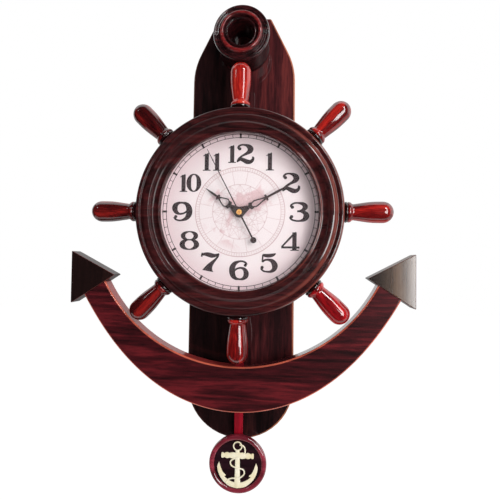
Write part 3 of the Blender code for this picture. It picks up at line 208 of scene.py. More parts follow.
def wood(name, dark, middle, light, along, figure, swirl=1.2, turn=(0, 0, 0), roughness=0.4,
         coat=1.0, coat_roughness=0.02, coat_ior=1.5, coat_fade=None, bright_side=None,
         bright_above=None, edge=None, edge_right=0.0, edge_from=None, side=None, side_coat=1.0,
         side_right=False):
    """Stained wood under lacquer, with its grain along axis 0, 1 or 2.

    bright_side: X places between which a tint fades out, and the tint, which stays below the heights
    bright_above. edge: painted highlight colour on the rounded edges, from edge_from on, less by
    edge_right where they face left. side: painted light added to the sawn sides, or the right ones,
    which take side_coat of the lacquer.
    coat_fade: X places and the lacquer's shares there.
    """
    made = Shader(name)
    vector = made.place(scale=drawn_out(along, figure_drawn), turn=turn)
    broad = made.noise(vector, figure, 3.0, 0.55, swirl)
    fine = made.noise(vector, figure * fine_times, 5.0, 0.6, 0.5)
    pore_vector = made.place(scale=drawn_out(along, pore_drawn), turn=turn)
    pores = made.noise(pore_vector, figure * pore_times, 3.0, 0.5)
    grain = made.math("ADD", made.times(broad, broad_share), made.times(fine, 1 - broad_share))
    colour = made.stain(grain, dark, middle, light)
    shade = made.span(pores, 0.3, 0.44, pore_shade, 1.0)
    shade = made.ramp(shade, [(0.0, (0, 0, 0)), (1.0, (255, 255, 255))])
    colour = made.mix(1.0, colour, shade, "MULTIPLY")
    x, _, z = made.split(made.place())
    if bright_side:
        start, end, tint = bright_side
        plain = made.span(x, start, end)
        if bright_above:
            plain = made.times(plain, made.span(z, *bright_above))
        colour = made.mix(plain, made.mix(1.0, colour, tint, "MULTIPLY"), colour)
    if edge:
        # Painted light on the sawn sides, and a painted highlight on the rounded edges, broken up by the
        # grain
        right, front, _ = made.split(made.node("ShaderNodeNewGeometry").outputs["Normal"])
        facing_front = made.math("ABSOLUTE", front)
        sides = made.span(facing_front, 0.05, 0.2, 1.0, 0.0)
        if side_right:
            sides = made.times(sides, made.span(right, -0.05, 0.1))
        colour = made.mix(sides, colour, made.mix(1.0, colour, side, "ADD"))
        rounded_edge_band = made.band(facing_front, 0.1, 0.3, 0.86, 0.985)
        edge_highlight_share = made.span(broad, 0.3, 0.6, 0.5, 0.95)
        if edge_right:
            edge_highlight_share = made.times(edge_highlight_share, made.span(right, 0.0, 0.15, 1 - edge_right, 1.0))
        if edge_from is not None:
            edge_highlight_share = made.times(edge_highlight_share, made.span(x, edge_from, edge_from + edge_fade))
        colour = made.mix(made.times(rounded_edge_band, edge_highlight_share), colour, edge)
        coat = made.times(made.span(sides, 0.0, 1.0, 1.0, side_coat), coat)
    if coat_fade:
        coat = made.times(made.span(x, *coat_fade), coat)
    made.set(base_color=colour, roughness=roughness, specular_ior_level=0.15, coat_weight=coat,
             coat_roughness=coat_roughness, coat_ior=coat_ior)
    made.bump(fine, 0.0002, 0.08)
    return made.material


def coated(name, low, high, roughness, scale, metallic=0.0, grain=0.00005, coat=0.0, specular=0.5):
    """Paint, plastic or metal with a little change of colour and a fine surface."""
    made = Shader(name)
    vector = made.place()
    cloud = made.noise(vector, scale / 12, 3.0)
    speck = made.noise(vector, scale * 4, 4.0)
    made.set(base_color=made.ramp(cloud, [(0.35, low), (0.65, high)]),
             roughness=made.span(speck, 0.3, 0.7, roughness * 0.85, roughness * 1.15),
             metallic=metallic, specular_ior_level=specular)
    if coat:
        made.set(coat_weight=coat, coat_roughness=0.05)
    made.bump(speck, grain, 0.6)
    return made.material


def brushed(name, low, high, roughness, along):
    """Metal with fine lines along axis 0, 1 or 2."""
    made = Shader(name)
    lines = made.noise(made.place(scale=drawn_out(along, line_drawn)), 2600, 3.0)
    made.set(base_color=made.ramp(lines, [(0.3, low), (0.7, high)]),
             roughness=made.span(lines, 0.3, 0.7, roughness * 0.8, roughness * 1.25), metallic=1.0)
    made.bump(lines, 0.00003, 0.5)
    return made.material


# Mesh helpers

def new_object(name, edit, finish):
    mesh = bpy.data.meshes.new(name)
    edit.to_mesh(mesh)
    edit.free()
    mesh.materials.append(finish)
    made = bpy.data.objects.new(name, mesh)
    link_object(made)
    return made


# Turn that makes a crease; beside a flat, the least turn and how much larger its face is
crease_turn = radians(32)
flat_turn = radians(2)
flat_times = 8


def add(name, edit, finish, body, stands_for=None, sharp=crease_turn, flats=False):
    """Makes an object of a bmesh, with smooth faces and sharp creases, and sets it riding.

    With flats, a wide face keeps its own flat gloss beside the narrow faces of a rounded edge.
    """
    bmesh.ops.recalc_face_normals(edit, faces=edit.faces)
    edit.normal_update()
    for face in edit.faces:
        face.smooth = True
    for edge in [edge for edge in edit.edges if edge.is_manifold]:
        turn = edge.calc_face_angle(0.0)
        areas = sorted(face.calc_area() for face in edge.link_faces)
        beside_flat = flats and turn > flat_turn and areas[1] > areas[0] * flat_times
        edge.smooth = not (turn > sharp or beside_flat)
    made = new_object(name, edit, finish)
    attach(made, body)
    if stands_for:
        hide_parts(stands_for)
    return made


def circle(radius, steps):
    turns = [2 * pi * i / steps for i in range(steps)]
    return [(radius * cos(turn), radius * sin(turn)) for turn in turns]


def bridge(edit, one, two, closed=True):
    """Adds faces between two rows of as many corners."""
    count = len(one)
    for i in range(count if closed else count - 1):
        k = (i + 1) % count
        edit.faces.new((one[i], one[k], two[k], two[i]))


def lathe(profile, steps, closed=False):
    """Turns (radius, along) points about the local Z axis."""
    edit = bmesh.new()
    rings = []
    for radius, along in profile:
        corners = circle(radius, steps) if radius > 1e-6 else [(0, 0)]
        rings.append([edit.verts.new((x, y, along)) for x, y in corners])
    if closed:
        rings.append(rings[0])
    for one, two in zip(rings, rings[1:]):
        for i in range(steps):
            k = i + 1
            corners = (one[i % len(one)], one[k % len(one)], two[k % len(two)], two[i % len(two)])
            unique = list(dict.fromkeys(corners))
            if len(unique) > 2:
                edit.faces.new(unique)
    return edit


# Turns local Z to the world's +Y, so that a turned piece's length is its depth
depth_turn = Matrix.Rotation(radians(-90), 4, "X")


def turned(name, profile, steps, z, finish, body, stands_for, closed=True):
    """Makes a lathed object that faces the front at the height z."""
    edit = lathe(profile, steps, closed)
    edit.transform(Matrix.Translation((0, 0, z)) @ depth_turn)
    return add(name, edit, finish, body, stands_for)


def curve(points, per_span):
    """Smooth open curve through points of any size."""
    points = [Vector(point) for point in points]
    made = []
    for a, b, c, d in zip(points[:1] + points, points, points[1:], points[2:] + points[-1:]):
        for k in range(per_span):
            t = k / per_span
            made.append(0.5 * ((2 * b) + (c - a) * t + (2 * a - 5 * b + 4 * c - d) * t ** 2
                               + (3 * b - a - 3 * c + d) * t ** 3))
    return made + points[-1:]


def heading(points, i):
    """Way from the point before to the point after."""
    return points[min(i + 1, len(points) - 1)] - points[max(i - 1, 0)]


def slab(edit, outline, front, back, edge_round, segments):
    """Adds a plate with an outline in the X-Z plane, its front and back edges rounded."""
    near = [edit.verts.new((x, front, z)) for x, z in outline]
    far = [edit.verts.new((x, back, z)) for x, z in outline]
    made = [edit.faces.new(near), edit.faces.new(far[::-1])]
    count = len(outline)
    for i in range(count):
        k = (i + 1) % count
        made.append(edit.faces.new((near[i], far[i], far[k], near[k])))
    edges = list(made[0].edges) + list(made[1].edges)
    bmesh.ops.recalc_face_normals(edit, faces=made)
    bmesh.ops.bevel(edit, geom=edges, offset=edge_round, segments=segments, affect="EDGES", profile=0.5)


def tube(edit, path, radius, steps, closed=False):
    """Adds a round bar along a path of vectors."""
    rings = []
    side = None
    for i, point in enumerate(path):
        ahead = path[(i + 1) % len(path)] - path[i - 1] if closed else heading(path, i)
        ahead.normalize()
        if side is None:
            side = ahead.orthogonal()
        side = (side - ahead * side.dot(ahead)).normalized()
        up = ahead.cross(side)
        rings.append([edit.verts.new(point + (side * x + up * y) * radius) for x, y in circle(1.0, steps)])
    if closed:
        rings.append(rings[0])
    for one, two in zip(rings, rings[1:]):
        bridge(edit, one, two)
    if not closed:
        edit.faces.new(rings[0][::-1])
        edit.faces.new(rings[-1])


# Finishes

# Flukes: painted highlight colour on the rounded edges, and painted light added on the sawn sides
fluke_edge_highlight = rgb(96, 34, 30)
fluke_side_light = (0.02, 0.006, 0.005, 1.0)
# Rim: the edge colour is a painted highlight on the right side's bead crests
rim_wood = wood(
    "rim_lacquer", (36, 12, 14), (58, 20, 22), (82, 29, 30), 0, figure=42, swirl=2.6, coat_ior=1.7,
    coat_fade=(-0.09, 0.05, 0.3, 1.0), edge=rgb(128, 56, 46), edge_right=1.0, edge_from=0.03,
    side=(0, 0, 0, 1))
# Board: the edge colour is a painted highlight on the right-facing rounded edges, and side is painted light
# on its sawn sides
board_wood = wood(
    "board_lacquer", (42, 15, 18), (76, 27, 31), (112, 44, 43), 2, figure=24, swirl=1.8,
    bright_side=(-0.03, 0.02, (0.3, 0.46, 0.44, 1.0)), bright_above=(-0.5, -0.42),
    edge=rgb(244, 150, 108), edge_right=0.85, side=(0.06, 0.01, 0.008, 1.0))
# Arms: the edge colour is a painted highlight on the rounded edges, and side is painted light on the sawn
# sides that face right
arm_wood = wood(
    "arm_lacquer", (38, 9, 13), (70, 15, 22), (108, 26, 33), 0, figure=26, swirl=2.6,
    turn=(0, radians(-18), 0), edge=rgb(230, 112, 86), side=(0.3, 0.035, 0.03, 1), side_coat=0.45,
    side_right=True)
fluke_left_wood = wood(
    "fluke_left_lacquer", (26, 13, 12), (34, 17, 16), (44, 23, 20), 2, figure=18, edge=fluke_edge_highlight,
    side=fluke_side_light, side_coat=0.15)
# Right fluke: painted reflection; its colours are lighter than the left fluke's, and bright_side darkens its
# left part so it grows lighter to the right
fluke_right_reflection_wood = wood(
    "fluke_right_painted_reflection_lacquer", (62, 40, 24), (82, 56, 36), (104, 74, 50), 2, figure=18, coat_roughness=0.12,
    coat_ior=2.1, bright_side=(0.176, 0.23, (0.13, 0.13, 0.18, 1)), edge=fluke_edge_highlight, side=fluke_side_light,
    side_coat=0.2)
hub_wood = wood("hub_lacquer", (30, 15, 14), (42, 21, 19), (54, 27, 24), 2, figure=18, coat_roughness=0.15)
rod_wood = wood("rod_lacquer", (128, 6, 26), (160, 10, 34), (186, 20, 46), 2, figure=24)
bob_wood = wood("bob_lacquer", (92, 20, 34), (134, 38, 54), (170, 62, 80), 0, figure=26, coat_ior=2.0)
inlay_wood = wood("inlay_lacquer", (24, 8, 15), (36, 14, 22), (48, 20, 30), 0, figure=26)
block_wood = wood("block_board", (120, 84, 52), (146, 106, 70), (168, 126, 88), 0, figure=30,
                  roughness=0.75, coat=0.0)


def ring_lacquer(name, coat, coat_roughness):
    """Dark stain, with a painted red highlight on the rounded bead round the bore, at its front."""
    made = Shader(name)
    fine = made.noise(made.place(scale=(0.2, 1.0, 1.0)), 260, 4.0, 0.6, 0.6)
    dark = made.stain(fine, (26, 8, 10), (44, 14, 17), (70, 24, 27))
    red = made.stain(fine, (80, 14, 16), (118, 24, 26), (150, 40, 40))
    x, y, z = made.split(made.place(shift=(0, 0, -ring_z)))
    out = made.from_axis(x, z)
    # Painted highlight: a red band round the bead's slope, in front only
    bead_highlight = made.band(out, *[ring_radius * share for share in (0.6, 0.65, 0.72, 0.77)])
    ahead = made.span(y, ring_low.y + 0.004, ring_low.y + 0.007, 1.0, 0.0)
    made.set(base_color=made.mix(made.times(bead_highlight, ahead), dark, red), roughness=0.4,
             specular_ior_level=0.15, coat_weight=coat, coat_roughness=coat_roughness, coat_ior=1.6)
    return made.material


ring_wood = ring_lacquer("ring_lacquer", 1.0, 0.03)
ring_side_wood = ring_lacquer("ring_side_lacquer", 0.35, 0.3)


def handle_lacquer(name, low, middle, high):
    """Red lacquer on the grip, near black on the flange by the rim, partly its own dark lacquer and partly
    painted shadow, and duller where it turns away.
    """
    made = Shader(name)
    vector = made.place(scale=(1.0, 1.0, 0.1))
    broad = made.noise(vector, 60, 3.0, 0.5, 1.0)
    fine = made.noise(vector, 700, 4.0, 0.6)
    grain = made.math("ADD", made.times(broad, 0.7), made.times(fine, 0.3))
    red = made.stain(grain, low, middle, high)
    # The flange's near-black colour is partly painted shadow where the handle meets the rim
    grip = made.span(made.split(made.place())[2], flange_length, flange_length + 0.0008)
    facing_away = made.node("ShaderNodeLayerWeight").outputs["Facing"]
    made.set(base_color=made.mix(grip, rgb(34, 9, 11), red), roughness=0.3, specular_ior_level=0.1,
             coat_weight=made.span(facing_away, 0.55, 0.85, 1.0, 0.12), coat_roughness=0.09, coat_ior=1.9)
    made.bump(fine, 0.0001, 0.02)
    return made.material


# Wheel rim: shares of the face's width from the opening out, and of the bead height

rim_opening = 0.1128
rim_bead_height = 0.0066
rim_back_round = 0.002
stack_gap = 0.0008
lens_gap = 0.0003
rim_face_shares = [
    (.0, -.02), (.012, .16), (.035, .26), (.065, .28), (.095, .22), (.115, .1), (.15, .03), (.22, .03),
    (.29, .18), (.35, .48), (.405, .84), (.45, .98), (.5, 1.0), (.58, .94), (.66, .72), (.715, .44),
    (.75, .33), (.785, .36), (.82, .53), (.86, .6), (.905, .59), (.95, .46), (.985, .16), (1.0, -.12)]


def make_rim():
    face_width = rim_radius - rim_opening
    floor = rim_low.y + rim_bead_height
    stack = dial_radius + stack_gap
    shoulder = node_box("glass_lens")[0].y - lens_gap
    profile = [(stack, rim_high.y), (stack, shoulder), (rim_opening, shoulder)]
    for across, rise in curve(rim_face_shares, 4):
        profile.append((rim_opening + face_width * across, floor - rim_bead_height * rise))
    profile += [(rim_radius, rim_high.y - rim_back_round), (rim_radius - rim_back_round, rim_high.y)]
    turned("rim_moulding", profile, wheel_steps, wheel_z, rim_wood, "clock", "wheel_rim")


# Handles, along from the root: flange and bell points lie short of the collar's radius, and the grip
# swells from the neck to the belly by shares of its length and of the difference

handle_root = rim_radius + 0.0007
handle_belly = (handle_high.x - handle_low.x) / 2
handle_neck = 0.0114
handle_collar = 0.0146
flange_length = 0.0032
collar_length = 0.0118
flange_points = [(.0012, .0), (.0003, .0005), (.0, .0012), (.0, .0022), (.0005, .003), (.0013, .0033)]
bell_points = [(.0012, .0036), (.0003, .0048), (.0005, .0068), (.0016, .0087)]
swell_shares = [(.1, .14), (.22, .34), (.34, .54), (.46, .73), (.6, .89), (.76, .98), (1.0, 1.0)]
handle_end_steps = 12
handle_names = ["top", "upper_right", "right", "lower_right", "bottom", "lower_left", "left", "upper_left"]


def handle_profile():
    grip = handle_reach - handle_root
    belly_at = grip - handle_belly
    made = [(0, 0)] + [(handle_collar - short, along) for short, along in flange_points]
    bell = [(handle_collar - short, along) for short, along in bell_points]
    bell += [(handle_neck + 0.0003, collar_length - 0.0018), (handle_neck - 0.0001, collar_length)]
    swell = [(handle_neck - 0.0001, collar_length + 0.0001), (handle_neck + 0.0002, collar_length + 0.002)]
    swell += [(handle_neck + (handle_belly - handle_neck) * share,
               collar_length + (belly_at - collar_length) * along) for along, share in swell_shares]
    made += curve(bell, 4) + curve(swell, 4)
    turns = [pi / 2 * i / handle_end_steps for i in range(1, handle_end_steps)]
    made += [(handle_belly * cos(turn), belly_at + handle_belly * sin(turn)) for turn in turns]
    return made + [(0, belly_at + handle_belly)]


def make_handles():
    # The handles share one lacquer in lit and shaded copies: painted light on the top and lower right
    # handles, painted shade on the three left ones
    plain = handle_lacquer("handle_lacquer", (58, 6, 8), (118, 14, 15), (198, 38, 30))
    dark = handle_lacquer("handle_shaded_lacquer", (36, 6, 8), (80, 12, 14), (150, 28, 24))
    lit_handle = handle_lacquer("handle_lit_lacquer", (110, 12, 12), (180, 30, 24), (226, 66, 48))
    lit_vivid_handle = handle_lacquer("handle_lit_vivid_lacquer", (96, 6, 12), (168, 16, 24), (232, 44, 46))
    finishes = {"top": lit_handle, "left": dark, "upper_left": dark, "lower_left": dark, "lower_right": lit_vivid_handle}
    profile = handle_profile()
    for k, word in enumerate(handle_names):
        edit = lathe(profile, handle_steps)
        made = add("handle_%s_turned" % word, edit, finishes.get(word, plain), "clock", "handle_" + word)
        around = Matrix.Rotation(2 * pi * k / len(handle_names), 4, "Y")
        centre = Matrix.Translation((0, handle_depth, wheel_z))
        spin = Matrix.Rotation(pi / 2 * k, 4, "Z")
        made.matrix_world = centre @ around @ Matrix.Translation((0, 0, handle_root)) @ spin


# Anchor ring: shares of the radius, and of the length from the back. The duller side begins at
# ring_side_front and ring_side_inner

ring_bore = 0.0187
ring_mouth = 0.88
ring_side_front = 0.7
ring_side_inner = 0.8
ring_face_shares = [
    (.945, .0), (.931, .03), (.917, .08), (.914, .2), (.914, .5), (.918, .63), (.935, .69), (.965, .735),
    (.988, .768), (1.0, .815), (.996, .857), (.978, .889), (.95, .903), (.915, .892), (.885, .872),
    (.864, .88), (.844, .895), (.824, .888), (.802, .885), (.776, .912), (.748, .955), (.712, .988),
    (.665, 1.0), (.625, .983), (.6, .945), (.582, .898), (.565, .88), (.546, .9), (.52, .93), (.49, .935),
    (.47, .915)]


def make_ring():
    length = ring_high.y - ring_low.y
    profile = [(ring_bore, ring_high.y)]
    for out, forward in curve(ring_face_shares, 4):
        profile.append((min(ring_radius * out, ring_radius), ring_high.y - length * min(forward, 1.0)))
    profile.append((ring_bore, ring_high.y - length * ring_mouth))
    made = turned("ring_turned", profile, ring_steps, ring_z, ring_wood, "clock", "anchor_ring")
    made.data.materials.append(ring_side_wood)
    side_front = ring_high.y - length * ring_side_front
    for face in made.data.polygons:
        out = hypot(face.center.x, face.center.z - ring_z)
        if face.center.y > side_front and out > ring_radius * ring_side_inner:
            face.material_index = 1


# Arms: a sweep round the wheel's axis, widest straight down

arm_inner = 0.222
arm_width_middle = 0.065
arm_width_end = 0.0378
arm_taper_angle = radians(60.0)
arm_cut_angle = radians(67.0)
arm_edge_round = 0.003
arm_edge_steps = 5
arm_steps = 132
fluke_gap = 0.0003
fluke_edge_round = 0.0009
fluke_apex_share = 0.55
fluke_boxes = {-1: node_box("fluke_left"), 1: node_box("fluke_right")}


def arm_width(angle):
    blend = (1 + cos(pi * min(abs(angle), arm_taper_angle) / arm_taper_angle)) / 2
    return arm_width_end + (arm_width_middle - arm_width_end) * blend


def arm_section(width):
    """Rounded oblong of (out, y) points."""
    inset = arm_edge_round
    near, far = arm_low.y + inset, arm_high.y - inset
    corners = [(width - inset, near), (width - inset, far), (inset, far), (inset, near)]
    made = []
    for quarter, (x, y) in enumerate(corners):
        for i in range(arm_edge_steps + 1):
            angle = -pi / 2 + quarter * pi / 2 + pi / 2 * i / arm_edge_steps
            made.append((x + inset * cos(angle), y + inset * sin(angle)))
    return made


def fluke_corners(side):
    """The fluke's inner point, lower and upper outer points; side is -1 or 1."""
    low, high = fluke_boxes[side]
    inner_x, outer_x = sorted((low.x, high.x), key=abs)
    apex = Vector((inner_x - side * fluke_edge_round, low.z + (high.z - low.z) * fluke_apex_share))
    return [apex, Vector((outer_x, low.z)), Vector((outer_x, high.z))]


def middle_x(item):
    corners = [item] if isinstance(item, bmesh.types.BMVert) else item.verts
    return sum(corner.co.x for corner in corners) / len(corners)


def make_arms():
    edit = bmesh.new()
    rings = []
    for i in range(arm_steps + 1):
        angle = arm_cut_angle * (2 * i / arm_steps - 1)
        down = angle - pi / 2
        section = [(arm_inner + out, y) for out, y in arm_section(arm_width(angle))]
        rings.append([edit.verts.new((out * cos(down), y, wheel_z + out * sin(down))) for out, y in section])
    for one, two in zip(rings, rings[1:]):
        bridge(edit, one, two)
    edit.faces.new(rings[0])
    edit.faces.new(rings[-1][::-1])
    bmesh.ops.recalc_face_normals(edit, faces=edit.faces)
    for side in (-1, 1):
        # The arm ends along the fluke's lower edge
        apex, bottom, _ = [Vector((corner.x, 0, corner.y)) for corner in fluke_corners(side)]
        along = (bottom - apex).normalized()
        up = (Vector((0, 0, 1)) - along * along.z).normalized()
        geometry = list(edit.verts) + list(edit.edges) + list(edit.faces)
        near = [item for item in geometry if side * middle_x(item) > arm_inner / 3]
        bmesh.ops.bisect_plane(edit, geom=near, plane_co=apex - up * fluke_gap, plane_no=up, clear_outer=True)
        bmesh.ops.holes_fill(edit, edges=[edge for edge in edit.edges if edge.is_boundary], sides=0)
    add("arms_sawn", edit, arm_wood, "clock", "anchor_crescent", flats=True)


def rounded(corners, soft, steps=4):
    """Outline through 2-D corners, each rounded by the radius soft."""
    outline = []
    for i, here in enumerate(corners):
        before = (corners[i - 1] - here).normalized()
        after = (corners[(i + 1) % len(corners)] - here).normalized()
        half = before.angle(after) / 2
        middle = here + (before + after).normalized() * (soft / sin(half))
        first, last = [(here + way * (soft / tan(half)) - middle).normalized() for way in (before, after)]
        outline += [middle + first.slerp(last, k / steps) * soft for k in range(steps + 1)]
    return outline


def make_flukes():
    for side, word, finish in ((-1, "left", fluke_left_wood), (1, "right", fluke_right_reflection_wood)):
        low, high = fluke_boxes[side]
        edit = bmesh.new()
        slab(edit, rounded(fluke_corners(side), fluke_edge_round), low.y, high.y, fluke_edge_round, 3)
        add("fluke_%s_sawn" % word, edit, finish, "clock", "fluke_" + word, flats=True)


# Dial: how far the print lies over the plate and over other print, the minute track, and the numerals,
# whose strokes are in shares of their height

print_lift = 0.00005
layer_lift = 0.00001
track_outer = 0.1142
track_inner = 0.109
track_line = 0.0009
numeral_radius = 0.0852
numeral_height = 0.027
print_z = wheel_z + 0.0015
stroke_weight = 1.5
stroke_spread = 0.01
ring_weight = 1.28
stem_weight = 1.05
foot_spread = 0.03
foot_height = 0.058
pair_spacing = {"10": 0.02, "11": 0.2, "12": 0.06}
figure_shift = {"12": 0.001}
figure_stretch = {"0": 1.04, "2": 1.09, "3": 1.06, "7": 1.07, "8": 1.07, "9": 1.05}
hour_tick = 0.0015
hour_tick_reach = 0.001
minute_tick = 0.00042
annulus_steps = 240
oval_steps = 56
ball_steps = 28


def annulus(edit, middle, half_width, y):
    bridge(edit, *[[edit.verts.new((x, y, print_z + z)) for x, z in circle(radius, annulus_steps)]
                   for radius in (middle - half_width, middle + half_width)])


def bar(edit, turn, inner, outer, half_width, y):
    """Radial bar; turn is clockwise from 12 o'clock."""
    out = Vector((sin(turn), 0, cos(turn)))
    side = Vector((cos(turn), 0, -sin(turn))) * half_width
    base = Vector((0, y, print_z))
    edit.faces.new([edit.verts.new(base + point) for point in
                    (out * inner - side, out * inner + side, out * outer + side, out * outer - side)])


# Width of each figure, its strokes and its balls (x, z, radius). A line is (x, z, half width) points, a
# stem x, low, high and half width, a foot its ends, a flag its top and tip, and a ring its middle, half
# sizes and thick and thin half widths
figures = {
    "0": (.74, [("ring", .37, .495, .27, .465, .098, .026)], []),
    "1": (.37, [("stem", .205, .02, .93, .098), ("flag", .303, .995, .0, .83), ("foot", .01, .4)], []),
    "2": (.88, [("line", (.085, .77, .03), (.12, .9, .03), (.24, .975, .026), (.42, .975, .03),
     (.6, .9, .068), (.7, .77, .094), (.66, .62, .078), (.5, .5, .045), (.28, .37, .028),
     (.12, .22, .024), (.045, .04, .018)), ("line", (.045, .04, .018), (.12, .15, .045),
     (.24, .2, .055), (.38, .14, .068), (.54, .06, .078), (.68, .05, .066), (.79, .12, .05),
     (.84, .22, .036), (.85, .3, .026))], [(.165, .765, .088), (.825, .3, .05)]),
    "3": (.98, [("line", (.1, .76, .03), (.13, .88, .028), (.28, .97, .026), (.47, .98, .028),
     (.7, .93, .058), (.82, .8, .084), (.76, .65, .062), (.6, .56, .034), (.42, .53, .024)),
     ("line", (.42, .53, .024), (.62, .52, .032), (.82, .43, .072), (.88, .27, .096),
     (.78, .1, .066), (.58, .025, .032), (.36, .022, .026), (.15, .09, .028),
     (.06, .22, .03))], [(.175, .755, .088), (.14, .245, .088)]),
    "4": (1.0, [("stem", .72, .02, .985, .1), ("line", (.8, .985, .02), (.6, .8, .03),
     (.3, .48, .028), (.04, .2, .022)), ("line", (.02, .175, .03), (.98, .175, .03)),
     ("line", (.94, .175, .03), (.99, .2, .02)), ("foot", .52, .94)], []),
    "5": (.9, [("line", (.14, .93, .026), (.28, .885, .052), (.44, .875, .06), (.62, .9, .056),
     (.76, .95, .034), (.84, 1.0, .014)), ("line", (.15, .93, .024), (.135, .74, .022),
     (.125, .53, .022)), ("line", (.125, .53, .02), (.25, .635, .03), (.44, .66, .036),
     (.66, .58, .07), (.79, .38, .098), (.76, .17, .078), (.6, .04, .044), (.4, .018, .028),
     (.18, .06, .026), (.05, .2, .03))], [(.115, .245, .088)]),
    "6": (.96, [("line", (.9, .8, .03), (.82, .92, .028), (.64, .985, .026), (.46, .965, .034),
     (.25, .86, .068), (.125, .66, .094), (.105, .42, .098), (.17, .2, .084), (.31, .06, .05),
     (.5, .018, .028), (.68, .04, .044), (.83, .16, .08), (.87, .33, .088), (.8, .52, .064),
     (.64, .62, .034), (.46, .61, .028), (.3, .54, .026), (.18, .4, .024))], [(.815, .775, .085)]),
    "7": (.98, [("line", (.055, .78, .02), (.075, .9, .026), (.09, 1.0, .016)),
     ("line", (.07, .88, .024), (.22, .925, .052), (.4, .9, .074), (.58, .85, .074),
     (.76, .86, .048), (.95, .955, .014)), ("line", (.93, .94, .018), (.88, .8, .026),
     (.76, .64, .034), (.6, .46, .058), (.46, .26, .1), (.4, .1, .15), (.38, .01, .19))], []),
    "8": (1.0, [("ring", .5, .755, .33, .225, .092, .026),
     ("ring", .5, .285, .37, .265, .108, .026)], []),
}
# The 9 is the 6 turned round
figures["9"] = figures["6"]


def figure_width(sign):
    return figures[sign][0] * figure_stretch.get(sign, 1.0) * numeral_height


def stroke(edit, centre_line, lay):
    """Flat ribbon along (x, z, half width) points."""
    points = curve(centre_line, 5) if len(centre_line) > 2 else [Vector(point) for point in centre_line]
    pairs = []
    for i, point in enumerate(points):
        ahead = heading(points, i)
        normal = Vector((-ahead.y, ahead.x)).normalized() * (point.z * stroke_weight + stroke_spread)
        pairs.append([edit.verts.new(lay(point.x + normal.x * way, point.y + normal.y * way))
                      for way in (1, -1)])
    bridge(edit, *zip(*pairs), closed=False)


def oval(edit, x, z, half_x, half_z, thick, thin, lay):
    """Ring of a figure, thick at its sides and thin above and below."""
    pairs = []
    for across, up in circle(1.0, oval_steps):
        half = (thin + (thick - thin) * abs(across) ** 1.6) * ring_weight
        pairs.append([edit.verts.new(lay(x + (half_x + out) * across, z + (half_z + rise) * up))
                      for out, rise in ((-half, -half), (half, half * 0.9))])
    bridge(edit, *zip(*pairs))


def draw_figure(edit, sign, left, base, y):
    """Draws one figure of the dial from its left edge and base."""
    width, strokes, balls = figures[sign]
    stretch = figure_stretch.get(sign, 1.0)

    def lay(x, z):
        if sign == "9":
            x, z = width - x, 1 - z
        return (left + x * numeral_height * stretch, y, base + z * numeral_height)

    def polygon(outline):
        edit.faces.new([edit.verts.new(lay(x, z)) for x, z in outline])

    for kind, *values in strokes:
        if kind == "line":
            stroke(edit, values, lay)
        elif kind == "stem":
            x, low, high, half = values
            half = half * stem_weight + stroke_spread
            polygon([(x - half, low), (x + half, low), (x + half, high), (x - half, high)])
        elif kind == "foot":
            low, high = values
            polygon([(low - foot_spread, 0), (high + foot_spread, 0), (high, foot_height),
                     (low, foot_height)])
        elif kind == "flag":
            top_x, top_z, tip_x, tip_z = values
            polygon([(tip_x, tip_z), (tip_x + 0.02, tip_z - 0.045), (0.12, tip_z - 0.005), (top_x, 0.92),
                     (top_x, top_z), (0.16, 0.905)])
        elif kind == "ring":
            oval(edit, *values, lay)
    for x, z, radius in balls:
        polygon([(x + across, z + up) for across, up in circle(radius, ball_steps)])


def make_dial_print():
    ink = coated("dial_ink", (34, 18, 23), (50, 30, 36), 0.7, 900, specular=0.1)
    edit = bmesh.new()
    y = dial_front - print_lift
    for hour in range(1, 13):
        turn = 2 * pi * hour / 12
        word = str(hour)
        spacing = pair_spacing.get(word, 0.0) * numeral_height
        total = sum(figure_width(sign) for sign in word) + spacing * (len(word) - 1)
        left = numeral_radius * sin(turn) - total / 2 + figure_shift.get(word, 0.0)
        base = print_z + numeral_radius * cos(turn) - numeral_height / 2
        for k, sign in enumerate(word):
            draw_figure(edit, sign, left, base, y - layer_lift * k)
            left += figure_width(sign) + spacing
    add("dial_numerals", edit, ink, "clock")
    edit = bmesh.new()
    for radius in (track_inner, track_outer):
        annulus(edit, radius, track_line / 2, y)
    for minute in range(60):
        reach, half_width = (0.0, minute_tick) if minute % 5 else (hour_tick_reach, hour_tick)
        bar(edit, 2 * pi * minute / 60, track_inner - reach, track_outer + reach, half_width, y - layer_lift)
    add("dial_track", edit, ink, "clock")


# Chart: radii of its rings, numbers of rays and ticks, and how many rays on each chord ends

chart_outer = 0.0656
chart_inner = 0.06
chart_net = 0.04
chart_rays = 16
chart_ticks = 108
chart_chords = (5, 7)
chart_line = 0.0003


def make_chart():
    """Faint generic net of bearing lines and a ring, printed under the figures."""
    tint = coated("chart_ink", (186, 150, 152), (198, 164, 166), 0.6, 600)
    edit = bmesh.new()
    y = dial_front - print_lift / 2
    for radius, half_width in ((chart_outer, 0.0005), (chart_inner, chart_line), (chart_net, chart_line)):
        annulus(edit, radius, half_width, y)
    for k in range(chart_rays):
        bar(edit, 2 * pi * (k + 0.5) / chart_rays, chart_net, chart_inner, 0.0002, y)
    for k in range(chart_rays):
        first = 2 * pi * k / chart_rays
        for passed in chart_chords:
            second = first + 2 * pi * passed / chart_rays
            a, b = [Vector((chart_net * sin(turn), 0, chart_net * cos(turn))) for turn in (first, second)]
            side = Vector((-(b - a).z, 0, (b - a).x)).normalized() * 0.00016
            base = Vector((0, y - 0.000005 * (passed - 4), print_z))
            corners = (a - side, b - side, b + side, a + side)
            edit.faces.new([edit.verts.new(base + corner) for corner in corners])
    for k in range(chart_ticks):
        bar(edit, 2 * pi * k / chart_ticks, chart_inner, chart_outer, chart_line, y)
    add("dial_chart", edit, tint, "clock")


# Middle of the tinted patch, right of and above the dial's
patch_middle = (0.014, 0.015)


